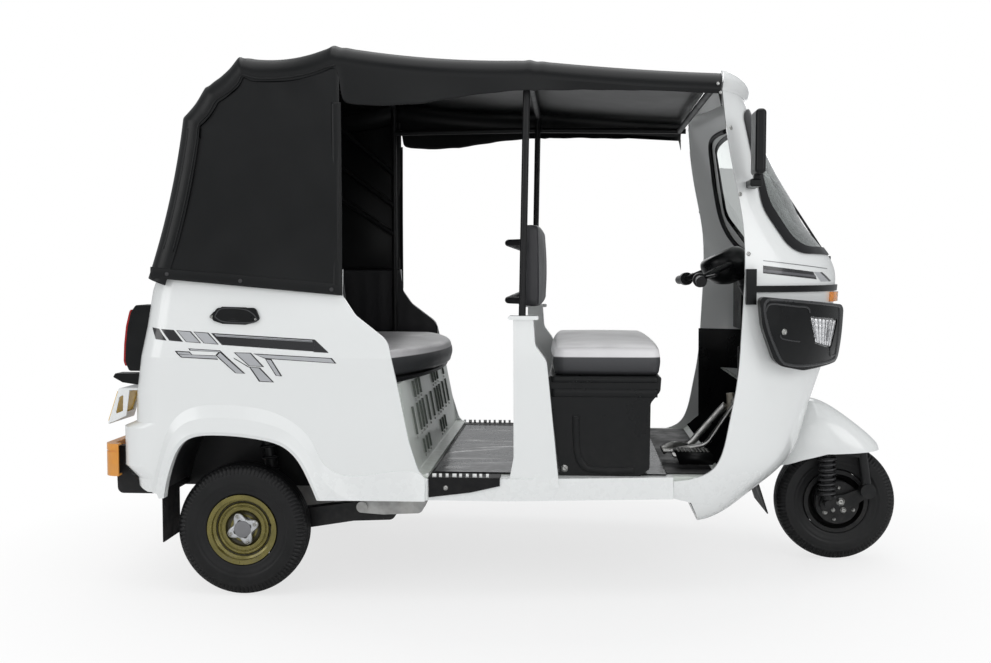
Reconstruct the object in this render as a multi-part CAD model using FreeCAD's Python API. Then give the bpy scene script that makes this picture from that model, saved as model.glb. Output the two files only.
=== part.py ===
import FreeCAD, Part
import math
import os

V = FreeCAD.Vector

# An auto rickshaw: a three-wheeled passenger vehicle with a sheet-metal body, a soft canopy
# over a tube frame, a handlebar, a single front wheel and a rear engine.
# Millimetres. X points forward, Y to the left, Z up. Lengths along X below are measured
# from the rear axle, and place_in_row_frame moves the whole to the centre of its length.

# Driving dimensions
WHEELBASE = 1985.0
REAR_OVERHANG = 455.0
TYRE_RADIUS = 210.0
TYRE_WIDTH = 106.0
REAR_WHEEL_Y = 575.0
STUB_RADIUS = 14.0
SHAFT_PLAY = 0.05
RIM_RADIUS = 112.0
RIM_WIDTH = 84.0
BODY_HALF_WIDTH = 645.0
FLARE_OUT = 19.5
SHEET = 10.0
FLOOR_TOP = 385.0
FLOOR_THICKNESS = 22.0
SILL_BOTTOM = 316.0
SILL_OUT = 628.0
SILL_WIDTH = 68.0
SILL_FRONT_OUT = 562.0
SILL_FRONT_X = 1362.0
REAR_TOP = 1035.0
# Height, rear end and half width of the rear body at its levels, with the way that each level
# moves where the body is drawn smaller: the step behind the bumper keeps its wall
TUB_LEVELS = [
    (300.0, -345.0, 636.0, 0.0),
    (372.0, -352.0, 640.0, 1.0),
    (412.0, -392.0, 642.0, 1.0),
    (536.0, -391.0, 645.0, -1.0),
    (552.0, -352.0, 645.0, -1.0),
    (640.0, -350.0, 645.0, 0.0),
    (760.0, -334.0, 645.0, 0.0),
    (854.0, -316.0, 634.0, 0.0),
    (970.0, -301.0, 620.0, 0.0),
    (1035.0, -280.0, 612.0, 0.0),
]
SPLIT_Y = 500.0
ENGINE_HALF = 225.0
ARM_IN = 516.0
DOOR_HALF = 270.0
DOOR_LOW = 568.0
DOOR_HIGH = 800.0
HINGE_Z = 806.0
HINGE_Y = 180.0
HINGE_PIN = 4.0
HINGE_RADIUS = 9.0
LAMP_Y = 500.0
LAMP_HALF = 46.0
PLATE_Y = 492.0
BUMPER_HALF = 600.0
BUMPER_LOW = 374.0
BUMPER_HIGH = 478.0
DECK_TOP = 690.0
RUNNING_GAP = 5.0
SEAT_GAP = 0.3

# The right wheel opening from the side, and the crease where its flare begins
ARCH = [
    (-237.0, 300.0),
    (-228.0, 360.0),
    (-209.0, 425.0),
    (-189.0, 470.0),
    (-160.0, 501.0),
    (-126.0, 514.0),
    (-79.0, 518.0),
    (2.0, 515.0),
    (83.0, 504.0),
    (144.0, 485.0),
    (184.0, 452.0),
    (218.0, 396.0),
    (253.0, 315.0),
    (266.0, 280.0),
]
CREASE = [
    (-280.0, 300.0),
    (-268.0, 385.0),
    (-246.0, 468.0),
    (-218.0, 542.0),
    (-182.0, 584.0),
    (-131.0, 606.0),
    (-66.0, 613.0),
    (15.0, 609.0),
    (100.0, 594.0),
    (180.0, 556.0),
    (238.0, 494.0),
    (270.0, 432.0),
    (312.0, 400.0),
    (400.0, 394.0),
    (590.0, 392.0),
]

# Front cowl
COWL_WALL = 12.0
COWL_FULLNESS = 2.25
COWL_BOTTOM = 235.0
COWL_TOP = 1655.0
# Height, nose, and half width of the cowl at its levels
COWL_LEVELS = [
    (235.0, 1570.0, 500.0),
    (300.0, 1680.0, 545.0),
    (355.0, 1757.0, 557.0),
    (420.0, 1818.0, 565.0),
    (520.0, 1853.0, 570.0),
    (680.0, 1903.0, 575.0),
    (830.0, 1943.0, 578.0),
    (965.0, 1954.0, 578.0),
    (1050.0, 1948.0, 577.0),
    (1115.0, 1906.0, 576.0),
    (1200.0, 1838.0, 574.0),
    (1330.0, 1766.0, 572.0),
    (1460.0, 1697.0, 568.0),
    (1580.0, 1638.0, 564.0),
    (1655.0, 1604.0, 560.0),
]
# The door edge of the cowl, from the roof down to the sill, and the foot that laps the sill's end
DOOR_EDGE = [
    (1505.0, 1655.0),
    (1510.0, 1560.0),
    (1537.0, 1366.0),
    (1572.0, 1180.0),
    (1578.0, 1050.0),
    (1569.0, 830.0),
    (1555.0, 658.0),
    (1537.0, 560.0),
    (1518.0, 470.0),
    (1487.0, 411.0),
    (1436.0, 384.0),
    (1363.0, 372.0),
]
COWL_FOOT = [(1363.0, 316.0), (1420.0, 302.0), (1445.0, 246.0), (1445.0, 100.0)]
WINDOW_TOP = 1548.0
WINDOW_BOTTOM = 1098.0
SEAL_WIDTH = 24.0
SEAL_PROUD = 5.0
GLASS_THICKNESS = 5.0
# The header's height and how far it stands out there
HEADER_SECTIONS = [(1590.0, 1.0), (1606.0, 14.0), (1622.0, 28.0), (1640.0, 26.0), (1654.0, 12.0), (1662.0, -8.0)]
BELT_Z = 975.0
BELT_HEIGHT = 20.0
BELT_PROUD = 8.0
POD_PROUD = 47.0

# Steering
RAKE = 25.0
AXIS_FOOT = (2030.0, 210.0)
COLUMN_RADIUS = 30.0
SHAFT_RADIUS = 24.0
BAR_AT = 950.0
BAR_SET = -34.0
CROWN_AT = 268.0
COLUMN_TOP = 860.0
BAR_SWEEP = 180.0
BAR_HALF = 370.0
BAR_RADIUS = 11.0
GRIP_RADIUS = 17.0
GRIP_LENGTH = 125.0
MUDGUARD_WALL = 4.0
RECESS_SKIRT = 262.0
RECESS_RADIUS = 222.0
RECESS_ROOF = 425.0
HOUSING_WALL = 8.0
LEG_Y = -100.0
LEG_RADIUS = 17.0
PIVOT = (2078.0, 262.0)

# Canopy and its frame
CANOPY_HALF_WIDTH = 638.0
CANOPY_WALL = 6.0
CANOPY_REAR_X = -298.0
CANOPY_FRONT_X = 1492.0
CANOPY_HEM = 955.0
ROOF_CROWN = 10.0
VALANCE_FRONT_Z = 1525.0
OPENING_REAR_X = 327.0
TUBE_RADIUS = 11.0
FRAME_HALF_WIDTH = 588.0
HOOP_X = 304.0
RAIL_Z = 1600.0
# Where the roof bows lift the canopy
BOWS = [
    (-178.0, 1512.0),
    (-106.0, 1606.0),
    (4.0, 1700.0),
    (302.0, 1730.0),
    (913.0, 1678.0),
]
FRONT_ROOF_Z = 1630.0
FABRIC_SAG = 13.0

# Seats
REAR_CUSHION_FRONT = 470.0
REAR_CUSHION_BOW = 130.0
REAR_CUSHION_BACK = 95.0
REAR_CUSHION_HALF = 570.0
REAR_CUSHION_HEIGHT = 88.0
DRIVER_BOX_HALF = 552.0
DRIVER_BOX_TOP = 700.0
POST_X = 893.0
POST_TOP_Z = 892.0


ROW_SHIFT = -(WHEELBASE + TYRE_RADIUS - REAR_OVERHANG) / 2


def on_side(y):
    """Places an outline drawn in X and Z at the given Y."""
    return lambda a, b: V(a, y, b)


def on_front(x):
    """Places an outline drawn in Y and Z at the given X."""
    return lambda a, b: V(x, a, b)


def on_plan(z):
    """Places an outline drawn in X and Y at the given Z."""
    return lambda a, b: V(a, b, z)


def outline(points, place):
    """A closed wire of straight runs, with an arc at each corner that gives a radius."""
    corners = [(place(p[0], p[1]), p[2] if len(p) > 2 else 0.0) for p in points]
    count = len(corners)
    ends = []
    for i, (here, radius) in enumerate(corners):
        before = corners[i - 1][0]
        after = corners[(i + 1) % count][0]
        if radius <= 0:
            ends.append((here, None, here))
            continue
        back = (before - here).normalize()
        ahead = (after - here).normalize()
        half = back.getAngle(ahead) / 2
        reach = radius / math.tan(half)
        start = here + back * reach
        end = here + ahead * reach
        bisector = (back + ahead).normalize()
        middle = here + bisector * (radius / math.sin(half) - radius)
        ends.append((start, middle, end))
    edges = []
    for i in range(count):
        start, middle, end = ends[i]
        if middle is not None:
            edges.append(Part.Arc(start, middle, end).toShape())
        following = ends[(i + 1) % count][0]
        if (following - end).Length > 1e-6:
            edges.append(Part.LineSegment(end, following).toShape())
    return Part.Wire(edges)


def side_slab(points, y_low, y_high):
    """An outline in X and Z, as thick as from one Y to the other."""
    return Part.Face(outline(points, on_side(y_low))).extrude(V(0, y_high - y_low, 0))


def front_slab(points, x_low, x_high):
    """An outline in Y and Z, as thick as from one X to the other."""
    return Part.Face(outline(points, on_front(x_low))).extrude(V(x_high - x_low, 0, 0))


def plan_slab(points, z_low, z_high):
    """An outline in X and Y, as thick as from one Z to the other."""
    return Part.Face(outline(points, on_plan(z_low))).extrude(V(0, 0, z_high - z_low))


def block(x, y, z):
    """A box between two values on each axis."""
    return Part.makeBox(x[1] - x[0], y[1] - y[0], z[1] - z[0], V(x[0], y[0], z[0]))


def rod(start, end, radius):
    """A round bar from one point to another."""
    along = V(*end) - V(*start)
    return Part.makeCylinder(radius, along.Length, V(*start), along)


def bent_tube(points, bend, radius):
    """A round bar along straight runs that are joined by arcs."""
    places = [V(*p) for p in points]
    edges = []
    last = places[0]
    for i in range(1, len(places) - 1):
        here = places[i]
        back = (places[i - 1] - here).normalize()
        ahead = (places[i + 1] - here).normalize()
        half = back.getAngle(ahead) / 2
        shortest = min((places[i - 1] - here).Length, (places[i + 1] - here).Length)
        reach = min(bend / math.tan(half), 0.48 * shortest)
        arc_radius = reach * math.tan(half)
        start = here + back * reach
        end = here + ahead * reach
        middle = here + (back + ahead).normalize() * (arc_radius / math.sin(half) - arc_radius)
        if (start - last).Length > 1e-6:
            edges.append(Part.LineSegment(last, start).toShape())
        edges.append(Part.Arc(start, middle, end).toShape())
        last = end
    edges.append(Part.LineSegment(last, places[-1]).toShape())
    path = Part.Wire(edges)
    ring = Part.Wire(Part.Circle(places[0], places[1] - places[0], radius).toShape())
    return path.makePipeShell([ring], True, False)


def turned(profile, centre, axis):
    """A solid turned about an axis through centre. The profile is in radius and distance along the axis."""
    across = V(1, 0, 0) if abs(axis.x) < 0.9 else V(0, 0, 1)
    points = [centre + across * r + axis * d for r, d in profile]
    face = Part.Face(Part.makePolygon(points + [points[0]]))
    return face.revolve(centre, axis, 360)


def mirrored(shape):
    """The same shape on the other side of the vehicle."""
    return shape.mirror(V(0, 0, 0), V(0, 1, 0))


def pair(shape):
    """A shape and its mirror image, as solids of one node."""
    return Part.makeCompound([shape, mirrored(shape)])


def between(table, z, column):
    """Reads a column of a table of levels at height z, by straight lines between its rows."""
    if z <= table[0][0]:
        return table[0][column]
    for low, high in zip(table, table[1:]):
        if z <= high[0]:
            share = (z - low[0]) / (high[0] - low[0])
            return low[column] + share * (high[column] - low[column])
    return table[-1][column]


def on_axis(along, forward=0.0, aside=0.0):
    """A point given by its distance up the steering axis, forward of it and to the left."""
    rake = math.radians(RAKE)
    x = AXIS_FOOT[0] - along * math.sin(rake) + forward * math.cos(rake)
    z = AXIS_FOOT[1] + along * math.cos(rake) + forward * math.sin(rake)
    return V(x, aside, z)


STEER = on_axis(1.0) - on_axis(0.0)


# The cowl


def cowl_section(z, inset, back):
    """A plan section of the cowl: a bulged nose drawn by a superellipse, with straight sides to the back."""
    nose = between(COWL_LEVELS, z, 1) - inset
    half = between(COWL_LEVELS, z, 2) - inset
    edge = 1400.0
    power = 2.0 / COWL_FULLNESS
    points = []
    steps = 14
    for i in range(steps + 1):
        angle = math.pi * (i / steps - 0.5)
        x = edge + (nose - edge) * abs(math.cos(angle)) ** power
        y = math.copysign(half * abs(math.sin(angle)) ** power, math.sin(angle))
        points.append(V(x, y, z))
    curve = Part.BSplineCurve()
    curve.interpolate(points)
    left, right = points[-1], points[0]
    back_left, back_right = V(back, left.y, z), V(back, right.y, z)
    return Part.Wire(
        [
            curve.toShape(),
            Part.LineSegment(left, back_left).toShape(),
            Part.LineSegment(back_left, back_right).toShape(),
            Part.LineSegment(back_right, right).toShape(),
        ]
    )


def cowl_body(inset, back=1300.0, low=None, high=None):
    """The cowl as a closed solid, smaller all round by the inset."""
    low = COWL_LEVELS[0][0] + inset if low is None else low
    high = COWL_LEVELS[-1][0] - inset if high is None else high
    heights = [low] + [row[0] for row in COWL_LEVELS if low + 20 < row[0] < high - 20] + [high]
    return Part.makeLoft([cowl_section(z, inset, back) for z in heights], True, False)


def behind_door_edge():
    """Everything behind the cowl's door edge, to be cut away."""
    curve = Part.BSplineCurve()
    curve.interpolate([V(x, -800, z) for x, z in DOOR_EDGE])
    top, foot = DOOR_EDGE[0], DOOR_EDGE[-1]
    corners = [V(x, -800, z) for x, z in COWL_FOOT]
    corners += [V(1000, -800, 100), V(1000, -800, 1800), V(top[0], -800, 1800)]
    edges = [curve.toShape(), Part.LineSegment(V(foot[0], -800, foot[1]), corners[0]).toShape()]
    edges += [Part.LineSegment(a, b).toShape() for a, b in zip(corners, corners[1:])]
    edges.append(Part.LineSegment(corners[-1], V(top[0], -800, top[1])).toShape())
    return Part.Face(Part.Wire(edges)).extrude(V(0, 1600, 0))


def window_prism(grow):
    """The windscreen's outline as seen from the side, carried right across."""
    return side_slab(
        [
            (1590 - grow, WINDOW_TOP + grow, 45),
            (1650 - grow, 1240 - grow, 150),
            (1752 - grow, WINDOW_BOTTOM - grow, 110),
            (2150, WINDOW_BOTTOM - grow),
            (2150, WINDOW_TOP + grow),
        ],
        -800,
        800,
    )


def recess(grow):
    """The round space about the steering axis in which the front wheel and its mudguard turn."""
    profile = [
        (0, -400),
        (RECESS_SKIRT + grow, -400),
        (RECESS_SKIRT + grow, 50),
        (RECESS_SKIRT - 12 + grow, 105),
        (RECESS_RADIUS + 8 + grow, 150),
        (RECESS_RADIUS + grow, 180),
        (RECESS_RADIUS + grow, 330),
        (RECESS_RADIUS - 22 + grow, RECESS_ROOF + grow),
        (0, RECESS_ROOF + grow),
    ]
    across = on_axis(0, 0, 1) - on_axis(0)
    points = [on_axis(along) + across * r for r, along in profile]
    return Part.Face(Part.makePolygon(points + [points[0]])).revolve(on_axis(0), STEER, 360)


def front_cowl():
    """The front sheet-metal shell, with the windscreen opening and the wheel recess cut out."""
    shell = cowl_body(0).cut(cowl_body(COWL_WALL, back=1250.0))
    shell = shell.cut(behind_door_edge()).cut(window_prism(0))
    room = Part.makeCylinder(SHAFT_RADIUS + RUNNING_GAP + 1, 120, on_axis(380), STEER)
    return shell.cut(recess(0)).cut(room)


def windscreen():
    """The curved glass, set in the middle of the cowl's wall."""
    middle = (COWL_WALL - GLASS_THICKNESS) / 2
    sheet = cowl_body(middle).cut(cowl_body(middle + GLASS_THICKNESS, back=1250.0))
    return sheet.common(window_prism(-1.0))


def windscreen_seal():
    """The black rubber section round the glass, which stands proud of the cowl."""
    ring = cowl_body(-SEAL_PROUD, high=COWL_TOP).cut(cowl_body(-SEAT_GAP, back=1250.0, high=COWL_TOP + 5))
    return ring.common(window_prism(SEAL_WIDTH / 2)).cut(window_prism(-SEAL_WIDTH / 2))


def front_header():
    """The rounded peak over the windscreen."""
    peak = Part.makeLoft([cowl_section(z, -grow, 1300.0) for z, grow in HEADER_SECTIONS], True, False)
    peak = peak.common(block((1507, 1750), (-700, 700), (1500, 1700)))
    return peak.cut(cowl_body(-SEAT_GAP, back=1250.0, high=COWL_TOP + SEAT_GAP))


def belt_moulding():
    """The black strip round the cowl, with its end caps at the door edges."""
    band = cowl_body(-BELT_PROUD).cut(cowl_body(-SEAT_GAP, back=1250.0))
    low, high = BELT_Z - BELT_HEIGHT / 2, BELT_Z + BELT_HEIGHT / 2
    strip = band.common(block((1590, 2100), (-700, 700), (low, high)))
    thick = cowl_body(-2.2 * BELT_PROUD).cut(cowl_body(-SEAT_GAP, back=1250.0))
    caps = thick.common(block((1579, 1612), (-700, 700), (BELT_Z - 48, BELT_Z + 62)))
    return strip.fuse(caps).removeSplitter()


def pod_outline(grow):
    """The lamp pod as seen from the side."""
    return side_slab(
        [
            (1616 - grow, 953 + grow, 16),
            (1934 + grow, 921 + grow, 26),
            (1930 + grow, 732 - grow, 26),
            (1770, 718 - grow, 80),
            (1672 - grow, 740 - grow, 60),
            (1626 - grow, 860, 120),
        ],
        -700,
        0,
    )


def lens_outline(grow):
    """The headlamp lens as seen from the side."""
    return side_slab(
        [
            (1785 - grow, 890 + grow, 8),
            (1904 + grow, 876 + grow, 10),
            (1880 + grow, 780 - grow, 10),
            (1809 - grow, 801 - grow, 8),
        ],
        -700,
        0,
    )


def headlamp_pods():
    """The black mouldings that carry the headlamps, one each side of the nose."""
    raised = cowl_body(-POD_PROUD).cut(cowl_body(-SEAT_GAP, back=1250.0))
    pocket = cowl_body(-POD_PROUD - 20).cut(cowl_body(-POD_PROUD + 14, back=1250.0))
    pod = raised.common(pod_outline(0)).cut(pocket.common(lens_outline(0)))
    return pair(pod)


def headlamp_lenses():
    """The clear lenses, set in the pods' pockets."""
    sheet = cowl_body(-POD_PROUD + 2).cut(cowl_body(-POD_PROUD + 14 - SEAT_GAP, back=1250.0))
    return pair(sheet.common(lens_outline(-SEAT_GAP)))


def front_indicators():
    """The amber lamps above the pods, on the nose."""
    raised = cowl_body(-13).cut(cowl_body(-SEAT_GAP, back=1250.0))
    where = block((1880, 2050), (-304, -190), (930, 962))
    return pair(raised.common(where))


def wheel_housing():
    """The round wall and roof inside the cab that close the front wheel's recess."""
    hollow = recess(HOUSING_WALL).cut(recess(0)).common(cowl_body(COWL_WALL + SEAT_GAP, back=1250.0))
    bore = Part.makeCylinder(COLUMN_RADIUS + SEAT_GAP, 100, on_axis(RECESS_ROOF - 50), STEER)
    return hollow.cut(bore)


# The floor, the sills and the underframe


def sill_plan(grow, front):
    """The right sill from above. It narrows towards the front."""
    return [
        (598, -SILL_OUT - grow),
        (850, -SILL_OUT - grow),
        (front, -SILL_FRONT_OUT - grow),
        (front, -SILL_FRONT_OUT + SILL_WIDTH + grow),
        (850, -SILL_OUT + SILL_WIDTH + grow),
        (598, -SILL_OUT + SILL_WIDTH + grow),
    ]


def floor_pan():
    """The flat floor, which turns up at the front as a toe board."""
    sheet = [
        (598, FLOOR_TOP),
        (1500, FLOOR_TOP),
        (1596, FLOOR_TOP + 85),
        (1646, FLOOR_TOP + 255),
        (1668, FLOOR_TOP + 249),
        (1616, FLOOR_TOP + 72),
        (1508, FLOOR_TOP - FLOOR_THICKNESS),
        (598, FLOOR_TOP - FLOOR_THICKNESS),
    ]
    floor = side_slab(sheet, -SILL_OUT, SILL_OUT)
    for side in (1, -1):
        sill = plan_slab([(x, side * y) for x, y in sill_plan(SEAT_GAP, SILL_FRONT_X + SEAT_GAP)], 0, 1200)
        floor = floor.cut(sill)
    floor = floor.cut(cowl_body(0).cut(cowl_body(COWL_WALL + SEAT_GAP, back=1250.0)))
    floor = floor.cut(block((SILL_FRONT_X, 1800), (-700, -545), (0, 1200)))
    floor = floor.cut(block((SILL_FRONT_X, 1800), (545, 700), (0, 1200)))
    inner = [s for s in floor.Solids if abs(s.CenterOfMass.y) < 50]
    return inner[0]


def side_frame():
    """The right sill with the post box that stands behind the driver, in one pressing."""
    sill = plan_slab(sill_plan(0, SILL_FRONT_X), SILL_BOTTOM, FLOOR_TOP)
    box = side_slab(
        [
            (862, POST_TOP_Z - 12),
            (924, POST_TOP_Z - 12),
            (930, 800, 40),
            (966, 752, 40),
            (1006, FLOOR_TOP - 30),
            (846, FLOOR_TOP - 30),
            (864, 450, 60),
        ],
        -SILL_OUT + 16,
        -SILL_OUT + SILL_WIDTH - 2,
    )
    cap = side_slab(
        [
            (846, POST_TOP_Z - 12, 5),
            (846, POST_TOP_Z, 6),
            (940, POST_TOP_Z, 6),
            (940, POST_TOP_Z - 12, 5),
        ],
        -SILL_OUT + 10,
        -SILL_OUT + SILL_WIDTH + 4,
    )
    return sill.fuse(box).fuse(cap).removeSplitter()


def underframe():
    """The two long rails and the cross members that carry the floor, the engine and the arms."""
    top = FLOOR_TOP - FLOOR_THICKNESS - SEAT_GAP
    low = top - 60
    inner = SILL_OUT - SILL_WIDTH - 34
    pieces = [block((-300, 1430), (y - 22, y + 22), (low, top)) for y in (-330, 330)]
    for x, reach in ((700, inner), (1180, inner - 24)):
        pieces.append(block((x - 22, x + 22), (-reach, reach), (low + 8, top)))
    pieces += [block((x - 20, x + 20), (-ARM_IN - 12, ARM_IN + 12), (low + 8, top)) for x in (425, 542)]
    pieces.append(block((-300, -256), (-330, 330), (low, top)))
    for x in (-130, 120):
        for side in (-1, 1):
            y = sorted((side * (ENGINE_HALF + SEAT_GAP), side * 330))
            pieces.append(block((x - 20, x + 20), y, (top - 30, top)))
    pieces += [bumper_bracket(), mirrored(bumper_bracket())]
    frame = pieces[0]
    for piece in pieces[1:]:
        frame = frame.fuse(piece)
    return frame.removeSplitter()


def arm_bracket():
    """The cast bracket under the body that holds the right rear arm's pivot, with a round boss behind."""
    top = FLOOR_TOP - FLOOR_THICKNESS - 52 - 2 * SEAT_GAP
    shape = [(386, top), (590, top), (562, 252, 20), (440, 246, 20), (364, 251, 14), (350, 270, 14), (366, 292, 12)]
    plates = side_slab(shape, -ARM_IN - 9, -ARM_IN - 1).fuse(side_slab(shape, -ARM_IN + 54, -ARM_IN + 62))
    plates = plates.fuse(block((392, 590), (-ARM_IN - 9, -ARM_IN + 62), (top - 8, top)))
    for y in (-ARM_IN - 15, -ARM_IN + 54):
        plates = plates.fuse(rod((370, y, 270), (370, y + 14, 270), 18))
    return plates.removeSplitter()


# The rear body


def tub(inset, low=345.0, high=REAR_TOP, front=640.0):
    """The rear body as a closed solid, smaller all round by the inset."""
    levels = [(z + inset * move, rear, half) for z, rear, half, move in TUB_LEVELS]
    heights = [low] + [row[0] for row in levels if low + 5 < row[0] < high - 5] + [high]
    wires = []
    for z in heights:
        rear = between(levels, z, 1) + inset
        half = between(levels, z, 2) - inset
        corner = 92.0 - inset
        wires.append(
            outline([(front, -half), (rear, -half, corner), (rear, half, corner), (front, half)], on_plan(z))
        )
    return Part.makeLoft(wires, True, True)


def door_cut():
    """Everything forward of the rear edge of the passenger doorway."""
    edge = [
        (330, 1200),
        (330, 955, 30),
        (372, 893, 60),
        (474, 815, 60),
        (508, 660, 200),
        (540, 500, 200),
        (568, 412, 40),
        (590, FLOOR_TOP + 1, 10),
        (597.7, FLOOR_TOP + 1),
        (597.7, 200),
        (1100, 200),
        (1100, 1200),
    ]
    return side_slab(edge, -900, 900)


def arch_curve(points, y, foot):
    """A smooth outline in X and Z over the wheel, closed by straight runs at the height of the foot."""
    curve = Part.BSplineCurve()
    curve.interpolate([V(x, y, z) for x, z in points])
    first, last = V(points[0][0], y, points[0][1]), V(points[-1][0], y, points[-1][1])
    low_first, low_last = V(first.x, y, foot), V(last.x, y, foot)
    runs = [(last, low_last), (low_last, low_first), (low_first, first)]
    return Part.Wire([curve.toShape()] + [Part.LineSegment(a, b).toShape() for a, b in runs])


def arch_points(grow):
    """The wheel opening as seen from the side, moved away from the wheel by grow."""
    points = []
    for x, z in ARCH:
        away = V(x, 0, z - 270).normalize()
        points.append((x + grow * away.x, z + grow * away.z))
    return points


def arch_slab(grow, y_low, y_high):
    """The wheel opening, as thick as from one Y to the other."""
    return Part.Face(arch_curve(arch_points(grow), y_low, 200)).extrude(V(0, y_high - y_low, 0))


def lower_cut():
    """Everything below the rear body's lower edge."""
    edge = [(-600, 412), (-404, 412), (-338, 345), (-300, 331), (-258, 331), (-250, 317), (700, 317)]
    return side_slab(edge + [(700, 50), (-600, 50)], -900, 900)


def rear_shell():
    """The rear body's outer shell, before it is split into panels."""
    shell = tub(0, low=290.0).cut(tub(SHEET, low=250.0, high=REAR_TOP + 50, front=800.0))
    return shell.cut(door_cut()).cut(lower_cut())


def arch_flare():
    """The swelling round the right wheel arch: a soft roll from a crease in the panel to the arch's lip.

    It is lofted through five outlines with as many points each, so that the crease, the roll and
    the lip run side by side round the arch and then forward along the foot of the panel."""
    lip = arch_points(11)[:-1] + [(330, 232), (590, 200)]
    middle = [((a[0] * 0.52 + b[0] * 0.48), (a[1] * 0.52 + b[1] * 0.48)) for a, b in zip(CREASE, lip)]
    inner = arch_points(1)[:-1] + [(324, 222), (590, 190)]
    y = -BODY_HALF_WIDTH
    wires = [
        arch_curve(CREASE, y + SHEET - 2, 150),
        arch_curve(CREASE, y, 150),
        arch_curve(middle, y - FLARE_OUT * 0.66, 150),
        arch_curve(lip, y - FLARE_OUT, 150),
        arch_curve(inner, y - FLARE_OUT + 4, 150),
    ]
    return Part.makeLoft(wires, True, True).cut(lower_cut())


def rear_quarter():
    """The right side panel, with its wheel arch and the flare round it."""
    panel = rear_shell().common(block((-500, 800), (-800, -SPLIT_Y), (200, 1200)))
    panel = panel.fuse(arch_flare().cut(door_cut()))
    return panel.cut(arch_slab(0, -800, -400)).removeSplitter()


def hinge_x():
    """Where the engine door's hinge lies along the vehicle: a little behind the panel."""
    return between(TUB_LEVELS, HINGE_Z, 1) - 17.0


def hinge_knuckle(radius, y_low, y_high):
    """A round of the engine door's hinge."""
    return rod((hinge_x(), y_low, HINGE_Z), (hinge_x(), y_high, HINGE_Z), radius)


def rear_panel():
    """The back of the body between the side panels, with the engine opening and the hinge's fixed half."""
    panel = rear_shell().common(block((-500, 0), (-SPLIT_Y + SEAT_GAP, SPLIT_Y - SEAT_GAP), (200, 1200)))
    panel = panel.cut(block((-500, 0), (-DOOR_HALF, DOOR_HALF), (DOOR_LOW, DOOR_HIGH)))
    for side in (-1, 1):
        pin = hinge_knuckle(HINGE_PIN, side * HINGE_Y - 45, side * HINGE_Y + 45)
        panel = panel.fuse(pin)
        for edge in (-1, 1):
            middle = side * HINGE_Y + edge * 40
            panel = panel.fuse(hinge_knuckle(HINGE_RADIUS, middle - 10, middle + 10))
            lug = block((hinge_x() - 2, hinge_x() + 24), (middle - 10, middle + 10), (HINGE_Z + 2, HINGE_Z + 10))
            panel = panel.fuse(lug)
    return panel.removeSplitter()


def engine_door():
    """The flap over the engine, hung at its upper edge, with pressed slots."""
    gap = RUNNING_GAP
    where = block((-500, 0), (-DOOR_HALF + gap, DOOR_HALF - gap), (DOOR_LOW + gap, DOOR_HIGH - gap))
    flap = rear_shell().common(where)
    for side in (-1, 1):
        for i in range(6):
            z = 596 + i * 28
            y = side * 125
            slot = [(y - 75, z, 5), (y - 75, z + 11, 5), (y + 75, z + 11, 5), (y + 75, z, 5)]
            flap = flap.cut(front_slab(slot, -500, 0))
        knuckle = hinge_knuckle(HINGE_RADIUS, side * HINGE_Y - 25, side * HINGE_Y + 25)
        tab = block(
            (hinge_x() - HINGE_RADIUS, hinge_x() + 22),
            (side * HINGE_Y - 25, side * HINGE_Y + 25),
            (DOOR_HIGH - gap - 22, DOOR_HIGH - gap - 6),
        )
        stem = block(
            (hinge_x() - HINGE_RADIUS, hinge_x() - HINGE_RADIUS + 8),
            (side * HINGE_Y - 25, side * HINGE_Y + 25),
            (DOOR_HIGH - gap - 22, HINGE_Z),
        )
        bore = hinge_knuckle(HINGE_PIN + SHAFT_PLAY, side * HINGE_Y - 50, side * HINGE_Y + 50)
        flap = flap.fuse(tab).fuse(stem).fuse(knuckle).cut(bore)
    return flap.removeSplitter()


def rear_bulkhead():
    """The pressed wall under the passenger seat."""
    half = BODY_HALF_WIDTH - SHEET - 6
    top = DECK_TOP - SHEET - SEAT_GAP
    return side_slab(
        [
            (496, top),
            (507, top),
            (560, FLOOR_TOP + 14, 4),
            (597.4, FLOOR_TOP + 12),
            (597.4, FLOOR_TOP + 2),
            (550, FLOOR_TOP + 2, 4),
        ],
        -half,
        half,
    )


def bowed_plan(back, front, bow, half, corner):
    """A plan outline with a front edge that bows forward in the middle."""
    edge = Part.Arc(V(front, -half, 0), V(front + bow, 0, 0), V(front, half, 0)).toShape()
    edges = [
        edge,
        Part.LineSegment(V(front, half, 0), V(back, half, 0)).toShape(),
        Part.LineSegment(V(back, half, 0), V(back, -half, 0)).toShape(),
        Part.LineSegment(V(back, -half, 0), V(front, -half, 0)).toShape(),
    ]
    return Part.Face(Part.Wire(edges))


def seat_deck():
    """The cover over the engine and the upright sheet behind the passenger seat."""
    deck = bowed_plan(-340.0, 478.0, REAR_CUSHION_BOW - 30, BODY_HALF_WIDTH - SHEET - 6, 0)
    deck = deck.extrude(V(0, 0, SHEET))
    deck.translate(V(0, 0, DECK_TOP - SHEET))
    deck = deck.common(tub(SHEET + SEAT_GAP))
    half = 565
    low = DECK_TOP - 1
    upright = side_slab([(56, low), (66, low), (-24, 1190), (-34, 1190)], -half, half)
    return deck.fuse(upright).removeSplitter()


def wheel_arch_liner():
    """The tunnel over the right rear wheel."""
    outer = arch_slab(8, -BODY_HALF_WIDTH + SHEET + 8, -400)
    inner = arch_slab(2, -BODY_HALF_WIDTH - 10, -406)
    return outer.cut(inner).common(block((-400, 400), (-800, -300), (345, DECK_TOP - SHEET - 1)))


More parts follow.
